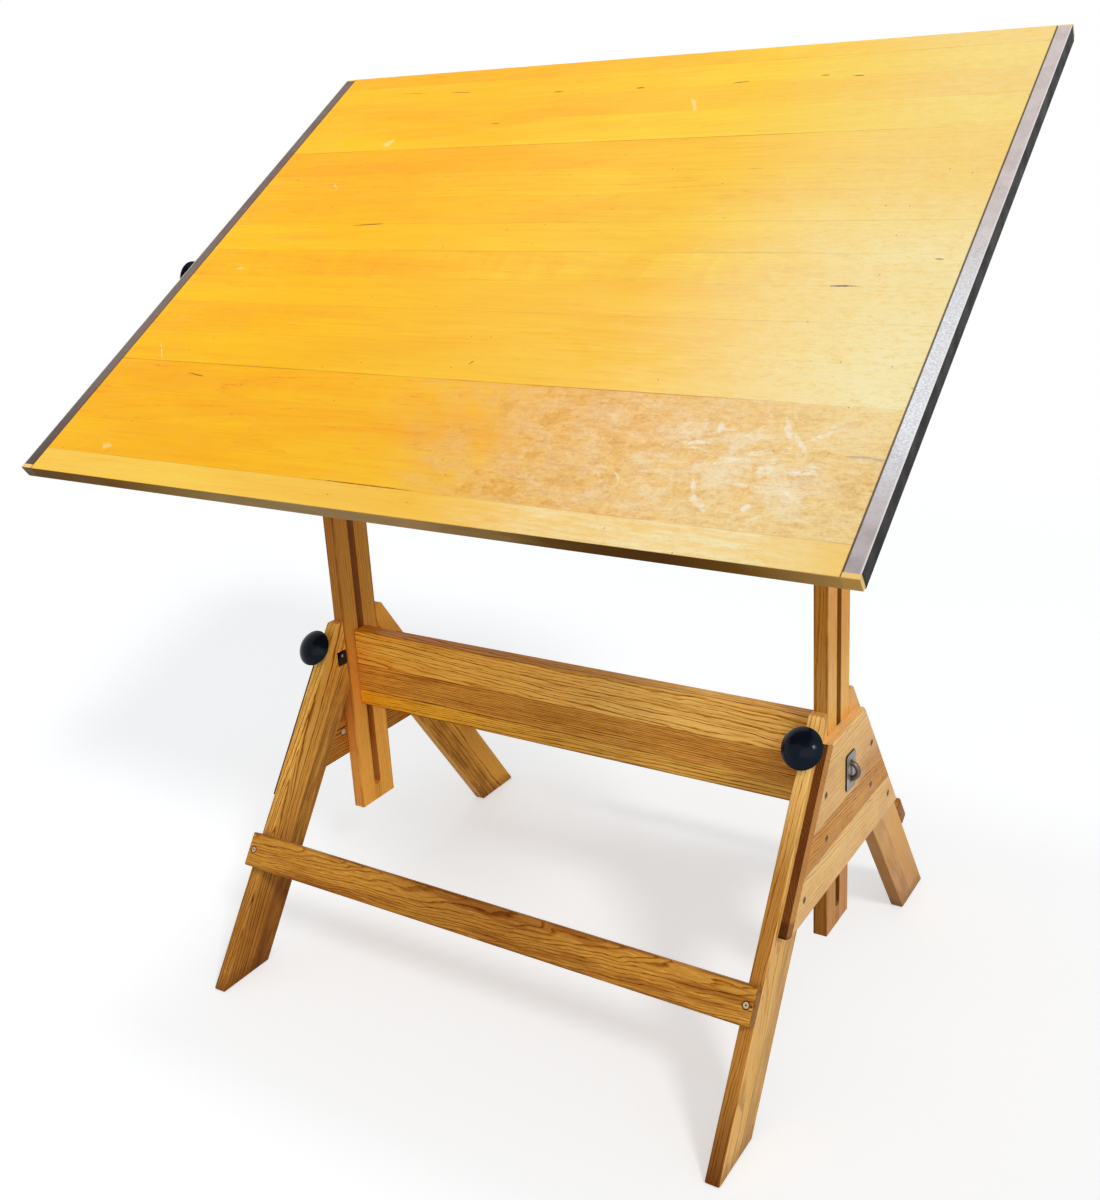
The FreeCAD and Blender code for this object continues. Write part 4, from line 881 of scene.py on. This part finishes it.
# the left cap is a darker copy, for the darker surroundings it reflects: painted reflection
cap_left = cap_material("edge cap left", (0.20, 0.145, 0.125), (0.12, 0.085, 0.072), (0.21, 0.165, 0.145))
dull_steel, bright_screw, bushing, bronze = (metal_material(*looks)[0] for looks in (
    ("dull steel", (0.19, 0.15, 0.125), (0.06, 0.045, 0.04), 0.30, 0.9, 0.3, (300, 300, 300)),
    ("bright screw", (0.80, 0.77, 0.72), (0.45, 0.40, 0.36), 0.35, 0.2, 0.3, (400, 400, 400)),
    ("old brass", (0.55, 0.36, 0.15), (0.20, 0.11, 0.04), 0.38, 0.9, 0.3, (400, 400, 400)),
    ("dark screw", (0.20, 0.105, 0.06), (0.06, 0.034, 0.022), 0.5, 0.5, 0.3, (400, 400, 400))))

# The stretchers' screws: painted shade fills their drives, below the head's face.
brass, r, shader, colour, coordinates = metal_material(
    "pale brass screw", (0.70, 0.52, 0.32), (0.30, 0.19, 0.10), 0.36, 0.6, 0.3, (400, 400, 400))
head = stretcher_screw_spots(1)[0][0]
across, up = abs(OUT_OF_LEG.y), OUT_OF_LEG.z
_, y, z = r.split(coordinates["Object"])
reach = r.plus(r.times(r.absolute(r.minus(y, MIDDLE.y)), across), r.times(z, up))
face_reach = abs(head.y - MIDDLE.y) * across + head.z * up
drive_shade = r.step(reach, face_reach - 0.0007, face_reach - 0.0002, 1.0, 0.0)
r.feed(shader.inputs["Base Color"], r.blend(drive_shade, colour, (0.045, 0.025, 0.014, 1)))

# The tie plates: a punched slot in the middle of each, shown by painted shade, and dark edges.
plate_steel, r, shader, colour, coordinates = metal_material(
    "galvanised plate", (0.38, 0.35, 0.315), (0.15, 0.12, 0.10), 0.42, 0.75, 0.25, (500, 500, 60))
flat_side = r.step(r.absolute(r.split(coordinates["Normal"])[0]), 0.5, 0.9)
_, y, z = r.split(coordinates["Object"])
plate_middle = middle_of("tie_plates")
across_slot = r.step(r.absolute(r.minus(y, plate_middle.y)), 0.0035, 0.0045, 1.0, 0.0)
along_slot = r.step(r.absolute(r.minus(z, plate_middle.z)), 0.016, 0.018, 1.0, 0.0)
colour = r.blend(r.times(r.times(across_slot, along_slot), 0.9), colour, (0.02, 0.015, 0.012, 1))
r.feed(shader.inputs["Base Color"], r.blend(flat_side, (0.035, 0.025, 0.02, 1), colour))


def plastic_material(name, base, mark, roughness, level):
    material, r, shader = new_material(name)
    place = r.add("ShaderNodeTexCoord").outputs["Object"]
    haze = r.noise(place, detail=3.0, scale=55)
    dust = r.noise(place, detail=1.0, scale=520)
    value = r.plus(r.times(r.step(haze, 0.35, 0.75), 0.5), r.times(r.step(dust, 0.68, 0.78), 0.5),
                   clamp=True)
    r.feed(shader.inputs["Base Color"], r.shades(value, (0.0, base), (1.0, mark)))
    r.feed(shader.inputs["Roughness"], r.step(haze, 0.3, 0.7, roughness, roughness + 0.14))
    bump_up(r, shader, 0.08, 0.0004, haze)
    shader.inputs["Specular IOR Level"].default_value = level
    return material


knob_black = plastic_material("black knob", (0.0016, 0.0056, 0.0145), (0.004, 0.011, 0.024), 0.10, 0.10)
shoe_black = plastic_material("black shoe", (0.006, 0.006, 0.007), (0.02, 0.02, 0.02), 0.45, 0.3)
stud_white = plastic_material("pale stud", (0.80, 0.66, 0.46), (0.55, 0.42, 0.26), 0.35, 0.5)

FINISHES = (
    (cap_left, "edge_cap_left"), (cap_right, "edge_cap_right"),
    (shoe_black, "clamp_shoe_left", "clamp_shoe_right"),
    (bright_screw, "shoe_screw_left", "shoe_screw_right"),
    (knob_black, "clamp_knob_left", "clamp_knob_right", "tilt_knob"),
    (dull_steel, "clamp_rod_left", "clamp_rod_right", "tie_loops", "tie_nuts", "mast_spacer_tube",
     "tilt_rod", "rod_end_nut", "tilt_sleeve"),
    (plate_steel, "tie_plates"), (bushing, "clamp_bushings"), (stud_white, "guide_studs"))
for material, *nodes in FINISHES:
    for node in nodes:
        finish_with(node, material)


# ---- Turned knobs ----
def add_piece(name, mesh, material, body, slot, *nodes):
    """Shows a mesh on a body, in place of the nodes."""
    piece = bpy.data.objects.new(name, mesh)
    bpy.context.scene.collection.objects.link(piece)
    mesh.materials.clear()
    mesh.materials.append(material)
    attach(piece, body)
    if nodes:
        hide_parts(*nodes)
    return piece


def turned_mesh(name, outline, start, direction, around=96, sharp=35):
    """Spins (radius, distance) points about the axis through start and closes the poles."""
    build = bmesh.new()
    turn = Vector((0, 0, 1)).rotation_difference(direction).to_matrix()
    rings = []
    for radius, distance in outline:
        count = 1 if radius < 1e-7 else around
        ring = []
        for k in range(count):
            angle = 2 * math.pi * k / around
            spot = Vector((radius * math.cos(angle), radius * math.sin(angle), distance))
            ring.append(build.verts.new(start + turn @ spot))
        rings.append(ring)
    for first, second in zip(rings, rings[1:]):
        for k in range(around):
            corners = [first[k % len(first)], first[(k + 1) % len(first)],
                       second[(k + 1) % len(second)], second[k % len(second)]]
            corners = list(dict.fromkeys(corners))
            if len(corners) > 2:
                build.faces.new(corners)
    bmesh.ops.remove_doubles(build, verts=build.verts, dist=1e-7)
    bmesh.ops.recalc_face_normals(build, faces=build.faces)
    mesh = bpy.data.meshes.new(name)
    build.to_mesh(mesh)
    build.free()
    mesh.shade_smooth()
    mesh.set_sharp_from_angle(angle=math.radians(sharp))
    return mesh


def arc_points(start, middle, end, count):
    """Points on the circle through three (radius, distance) points, start left out."""
    (ax, ay), (bx, by), (cx, cy) = start, middle, end
    aa, bb, cc = ax ** 2 + ay ** 2, bx ** 2 + by ** 2, cx ** 2 + cy ** 2
    d = 2 * (ax * (by - cy) + bx * (cy - ay) + cx * (ay - by))
    ux = (aa * (by - cy) + bb * (cy - ay) + cc * (ay - by)) / d
    uy = (aa * (cx - bx) + bb * (ax - cx) + cc * (bx - ax)) / d
    radius = math.hypot(ax - ux, ay - uy)
    a, b, c = (math.atan2(y - uy, x - ux) for x, y in (start, middle, end))

    def sweep(to):
        return (to - a) % (2 * math.pi)
    whole = sweep(c) if sweep(b) < sweep(c) else sweep(c) - 2 * math.pi
    return [(ux + radius * math.cos(a + whole * k / count), uy + radius * math.sin(a + whole * k / count))
            for k in range(1, count + 1)]


KNOB_HEIGHT, KNOB_WIDTH, _ = size_of("tilt_knob")
KNOB_RADIUS = KNOB_WIDTH / 2
KNOB_RIM = 0.0185                  # the height of its widest part
HUB_RADIUS = HUB_LENGTH = 0.011
KNOB_BORE, KNOB_BORE_DEPTH = 0.0048, 0.024
KNOB_STAND_OFF = 0.005             # from the joint's origin to the hub


def knob_outline():
    """(radius, distance) points from the bore's end, over hub and rim, to the top of the crown."""
    neck, edge, bevel, rounding = HUB_RADIUS * 0.86, 0.0016, 0.0006, 0.0008
    rise = KNOB_HEIGHT - KNOB_RIM
    sphere = (KNOB_RADIUS ** 2 + rise ** 2) / (2 * rise)
    half = math.atan2(KNOB_RADIUS, sphere - rise) / 2
    crown = (sphere * math.sin(half), KNOB_HEIGHT - sphere + sphere * math.cos(half))
    points = [(0, KNOB_BORE_DEPTH), (KNOB_BORE, KNOB_BORE_DEPTH), (KNOB_BORE, bevel),
              (KNOB_BORE + bevel, 0), (HUB_RADIUS - rounding, 0), (HUB_RADIUS, rounding)]
    waist = ((HUB_RADIUS + neck) / 2 - 0.0006, HUB_LENGTH * 0.55)
    points += arc_points((HUB_RADIUS, rounding), waist, (neck, HUB_LENGTH), 8)
    start, end = (neck, HUB_LENGTH), (KNOB_RADIUS - edge, KNOB_RIM - edge)
    below_rim = ((KNOB_RADIUS + neck) / 2 + 0.001, KNOB_RIM - 0.0036)
    points += arc_points(start, below_rim, end, 10)
    points += arc_points(end, (KNOB_RADIUS - 0.0005, KNOB_RIM - 0.0011), (KNOB_RADIUS, KNOB_RIM), 5)
    points += arc_points((KNOB_RADIUS, KNOB_RIM), crown, (0, KNOB_HEIGHT), 18)
    points[-1] = (0, KNOB_HEIGHT)
    return points


for side in ("left", "right"):
    joint = JOINTS["clamp_turn_" + side]
    outward = -Vector(joint["axis"]).normalized()
    hub_start = Vector(joint["pos_m"]) + outward * KNOB_STAND_OFF
    mesh = turned_mesh("height_knob_" + side, knob_outline(), hub_start, outward)
    add_piece("height_knob_" + side, mesh, knob_black, "knob_" + side, "knob_black", "clamp_knob_" + side)
_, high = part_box("tilt_knob")
mesh = turned_mesh("tilt_lock_knob", knob_outline(), Vector((high.x, MIDDLE.y, MIDDLE.z)), -RIGHT)
add_piece("tilt_lock_knob", mesh, knob_black, "tilt_knob", "knob_black", "tilt_knob")


# ---- Screws, grown on points by one node tree ----
def make_screw_tree():
    """One countersunk screw with a square drive, set head outward on every point."""
    tree = bpy.data.node_groups.new("wood screws", "GeometryNodeTree")
    tree.interface.new_socket("Points", in_out="INPUT", socket_type="NodeSocketGeometry")
    for label, kind, value in (("Head width", FLOAT, 0.008), ("Head depth", FLOAT, 0.003),
                               ("Shank width", FLOAT, 0.004), ("Length", FLOAT, 0.032),
                               ("Drive width", FLOAT, 0.0024), ("Drive depth", FLOAT, 0.0012),
                               ("Sink", FLOAT, 0.0), ("Around", WHOLE, 40), ("Seed", WHOLE, 5)):
        tree.interface.new_socket(label, in_out="INPUT", socket_type=kind).default_value = value
    tree.interface.new_socket("Metal", in_out="INPUT", socket_type="NodeSocketMaterial")
    tree.interface.new_socket("Screws", in_out="OUTPUT", socket_type="NodeSocketGeometry")
    r = Recipe(tree)
    given, made = r.add("NodeGroupInput").outputs, r.add("NodeGroupOutput").inputs
    head, shank = (r.over(given[label], 2.0) for label in ("Head width", "Shank width"))
    length = given["Length"]

    def moved(geometry, height):
        shift = r.add("ShaderNodeCombineXYZ", {"Z": height}).outputs[0]
        return r.add("GeometryNodeTransform", {"Geometry": geometry, "Translation": shift}).outputs[0]

    def cone(top, bottom, deep, height):
        """An open cone from height up by deep."""
        solid = r.add("GeometryNodeMeshCone", {"Vertices": given["Around"], "Radius Top": top,
                                               "Radius Bottom": bottom, "Depth": deep}, fill_type="NONE")
        return moved(solid.outputs["Mesh"], height)

    face = r.add("GeometryNodeMeshCircle", {"Vertices": given["Around"], "Radius": head},
                 fill_type="NGON").outputs[0]
    tip_height = r.minus(shank, length)
    pieces = [face,
              cone(head, shank, given["Head depth"], r.times(given["Head depth"], -1.0)),
              cone(shank, shank, r.minus(r.minus(length, given["Head depth"]), shank), tip_height),
              cone(shank, 0.0, shank, r.times(length, -1.0))]
    joined = r.add("GeometryNodeJoinGeometry")
    for piece in pieces:
        tree.links.new(piece, joined.inputs[0])
    body = r.add("GeometryNodeMergeByDistance", {"Geometry": joined.outputs[0], "Distance": 1e-5}).outputs[0]
    size = r.add("ShaderNodeCombineXYZ", {"X": given["Drive width"], "Y": given["Drive width"],
                                          "Z": r.times(given["Drive depth"], 2.0)}).outputs[0]
    drive = r.add("GeometryNodeMeshCube", {"Size": size}).outputs["Mesh"]
    cut = r.add("GeometryNodeMeshBoolean", {"Mesh 1": body, "Mesh 2": drive}, operation="DIFFERENCE",
                solver="EXACT")
    screw = moved(cut.outputs["Mesh"], r.times(given["Sink"], -1.0))

    stored = r.add("GeometryNodeInputNamedAttribute", {"Name": "aim"}, data_type="FLOAT_VECTOR")
    aim = stored.outputs["Attribute"]
    facing = r.add("FunctionNodeAlignRotationToVector", {"Vector": aim}, axis="Z").outputs[0]
    luck_angle = r.add("FunctionNodeRandomValue", {2: 0.0, 3: math.pi / 2, "Seed": given["Seed"]},
                       data_type="FLOAT")
    spin = r.add("FunctionNodeAxisAngleToRotation", {"Axis": (0, 0, 1),
                                                     "Angle": luck_angle.outputs[1]}).outputs[0]
    turned = r.add("FunctionNodeRotateRotation", {0: facing, 1: spin}, rotation_space="LOCAL").outputs[0]
    placed = r.add("GeometryNodeInstanceOnPoints", {"Points": given["Points"], "Instance": screw,
                                                    "Rotation": turned})
    real = r.add("GeometryNodeRealizeInstances", {"Geometry": placed.outputs[0]}).outputs[0]
    finished = r.add("GeometryNodeSetMaterial", {"Geometry": real, "Material": given["Metal"]}).outputs[0]
    r.feed(made["Screws"], finished)
    return tree


SCREW_TREE = make_screw_tree()


def add_screws(name, spots, sizes, metal, body, slot, *nodes):
    """spots are (place of the head, way it faces); the grown screws become one plain mesh."""
    points = bpy.data.meshes.new(name + "_points")
    points.from_pydata([place for place, _ in spots], [], [])
    aims = points.attributes.new("aim", "FLOAT_VECTOR", "POINT")
    for item, (_, way) in zip(aims.data, spots):
        item.vector = way
    holder = bpy.data.objects.new(name + "_points", points)
    bpy.context.scene.collection.objects.link(holder)
    modifier = holder.modifiers.new("screws", "NODES")
    modifier.node_group = SCREW_TREE
    values = {**sizes, "Metal": metal}
    for item in SCREW_TREE.interface.items_tree:
        if item.in_out == "INPUT" and item.name in values:
            modifier[item.identifier] = values[item.name]
    shown = holder.evaluated_get(bpy.context.evaluated_depsgraph_get())
    mesh = bpy.data.meshes.new_from_object(shown)
    mesh.name = name
    bpy.data.objects.remove(holder)
    mesh.shade_smooth()
    mesh.set_sharp_from_angle(angle=math.radians(30))
    return add_piece(name, mesh, metal, body, slot, *nodes)


panel_spots = [spot for side in (-1, 1) for part in PANEL_SCREWS for spot in panel_screw_spots(part, side)]
add_screws("panel_screw_set", panel_spots, {"Sink": 0.0004, "Seed": 3}, bronze, "base", "screw_bronze",
           "panel_screws")
stretcher_spots = stretcher_screw_spots(1) + stretcher_screw_spots(-1)
add_screws("stretcher_screw_set", stretcher_spots, {"Length": 0.036, "Seed": 8}, brass, "base",
           "screw_brass", "stretcher_screws")
BEARER_INSET = 0.016                           # the bearers' ends, from the top's edges
BEARER_SCREWS = (0.034, 0.134, 0.234)          # from the bearer's nearer end
BEARER_SCREW_HEIGHT = 0.028                    # the heads, square to the top, from the pivot line
bearer_spots = []
for side in (-1, 1):
    for along in BEARER_SCREWS:
        for from_front in (BEARER_INSET + along, TOP_DEPTH - BEARER_INSET - along):
            level = TOP_START + RIGHT * side * BEARER_X + ALONG_TOP * from_front
            bearer_spots.append((level + OFF_TOP * BEARER_SCREW_HEIGHT, -OFF_TOP))
add_screws("bearer_screw_set", bearer_spots, {"Length": 0.031, "Seed": 11}, bronze, "top", "screw_bronze",
           "bearer_screws")


# ---- Stage, light and camera ----
def ray_to_stage(r):
    """1 for rays that should see the plain background: camera, glossy and transmission rays."""
    path = r.add("ShaderNodeLightPath").outputs
    return r.most(path["Is Camera Ray"], r.most(path["Is Glossy Ray"], path["Is Transmission Ray"]))


FLOOR_LIFT = 0.46                  # brings the lit floor up to near white for the camera
WHITE_FROM, WHITE_AT = 1.8, 3.2    # the floor fades to plain white between these distances
FLOOR_SIZE, FLOOR_DROP = 40, 0.0005
scene = bpy.context.scene
world = bpy.data.worlds.new("studio")
scene.world = world
world.use_nodes = True
r = Recipe(world.node_tree)
background = world.node_tree.nodes["Background"]
background.inputs["Color"].default_value = (1, 1, 1, 1)
r.feed(background.inputs["Strength"], r.step(ray_to_stage(r), 0, 1, 0.42, 1.0, smooth=False))

bpy.ops.mesh.primitive_grid_add(x_subdivisions=8, y_subdivisions=8, size=FLOOR_SIZE,
                                location=(0, 0, -FLOOR_DROP))
floor = bpy.context.object
floor.name = "studio_floor"
material, r, shader = new_material("pale floor")
place = r.add("ShaderNodeTexCoord").outputs["Object"]
shader.inputs["Base Color"].default_value = (0.715, 0.745, 0.775, 1)
shader.inputs["Roughness"].default_value = 1.0
shader.inputs["Specular IOR Level"].default_value = 0.0
white = r.add("ShaderNodeEmission", {"Color": (1, 1, 1, 1), "Strength": 1.0}).outputs[0]
lift = r.add("ShaderNodeEmission", {"Color": (1, 1, 1, 1), "Strength": FLOOR_LIFT}).outputs[0]
shown = r.add("ShaderNodeAddShader", {0: shader.outputs[0], 1: lift}).outputs[0]
mixed = r.add("ShaderNodeMixShader", {0: r.step(r.length(place), WHITE_FROM, WHITE_AT), 1: shown,
                                      2: white}).outputs[0]
bounce = r.add("ShaderNodeBsdfDiffuse", {"Color": (0.46, 0.455, 0.45, 1)}).outputs[0]
plain = r.add("ShaderNodeMixShader", {0: ray_to_stage(r), 1: bounce, 2: mixed}).outputs[0]
r.feed(material.node_tree.nodes["Material Output"].inputs["Surface"], plain)
floor.data.materials.append(material)


def add_sun(name, source, strength, spread, colour=(1, 1, 1)):
    light = bpy.data.lights.new(name, "SUN")
    light.energy, light.angle, light.color = strength, math.radians(spread), colour
    lamp = bpy.data.objects.new(name, light)
    lamp.rotation_euler = Vector(source).to_track_quat("Z", "Y").to_euler()
    scene.collection.objects.link(lamp)


add_sun("key", (0.66, -0.38, 0.65), 1.0, 11, (1.0, 0.99, 0.97))
add_sun("front fill", (0.35, -0.92, 0.16), 0.72, 60, (1.0, 0.99, 0.98))
add_sun("right fill", (0.9, -0.3, 0.15), 0.30, 60, (0.98, 0.99, 1.0))
overhead = bpy.data.lights.new("ceiling panel", "AREA")
overhead.shape, overhead.size, overhead.size_y, overhead.energy = "RECTANGLE", 0.6, 0.35, 12
lamp = bpy.data.objects.new("ceiling panel", overhead)
lamp.location = (-0.78, -0.05, 3.1)
scene.collection.objects.link(lamp)

LENS, SENSOR = 39.7881, 36.0       # millimetres
SHIFT_X, SHIFT_Y = -0.04545, -0.04975833
AZIMUTH, ELEVATION, ROLL = 0.5504, -0.3013, -0.0483           # radians
eye = Vector((1.01729, -1.53885, 1.22683)) + Vector((MIDDLE.x, MIDDLE.y, 0))
level = Vector((math.cos(AZIMUTH), math.sin(AZIMUTH), 0))
ahead = Vector((-math.sin(AZIMUTH), math.cos(AZIMUTH), 0))
look = ahead * math.cos(ELEVATION) + UP * math.sin(ELEVATION)
above = level.cross(look)
cam_right = level * math.cos(ROLL) + above * math.sin(ROLL)
cam_up = above * math.cos(ROLL) - level * math.sin(ROLL)
camera_data = bpy.data.cameras.new("camera")
camera_data.sensor_fit, camera_data.sensor_width = "AUTO", SENSOR
camera_data.lens, camera_data.shift_x, camera_data.shift_y = LENS, SHIFT_X, SHIFT_Y
camera = bpy.data.objects.new("camera", camera_data)
turn = Matrix((cam_right, cam_up, -look)).transposed()
camera.matrix_world = Matrix.Translation(eye) @ turn.to_4x4()
scene.collection.objects.link(camera)
scene.camera = camera
scene.view_settings.view_transform = "Standard"
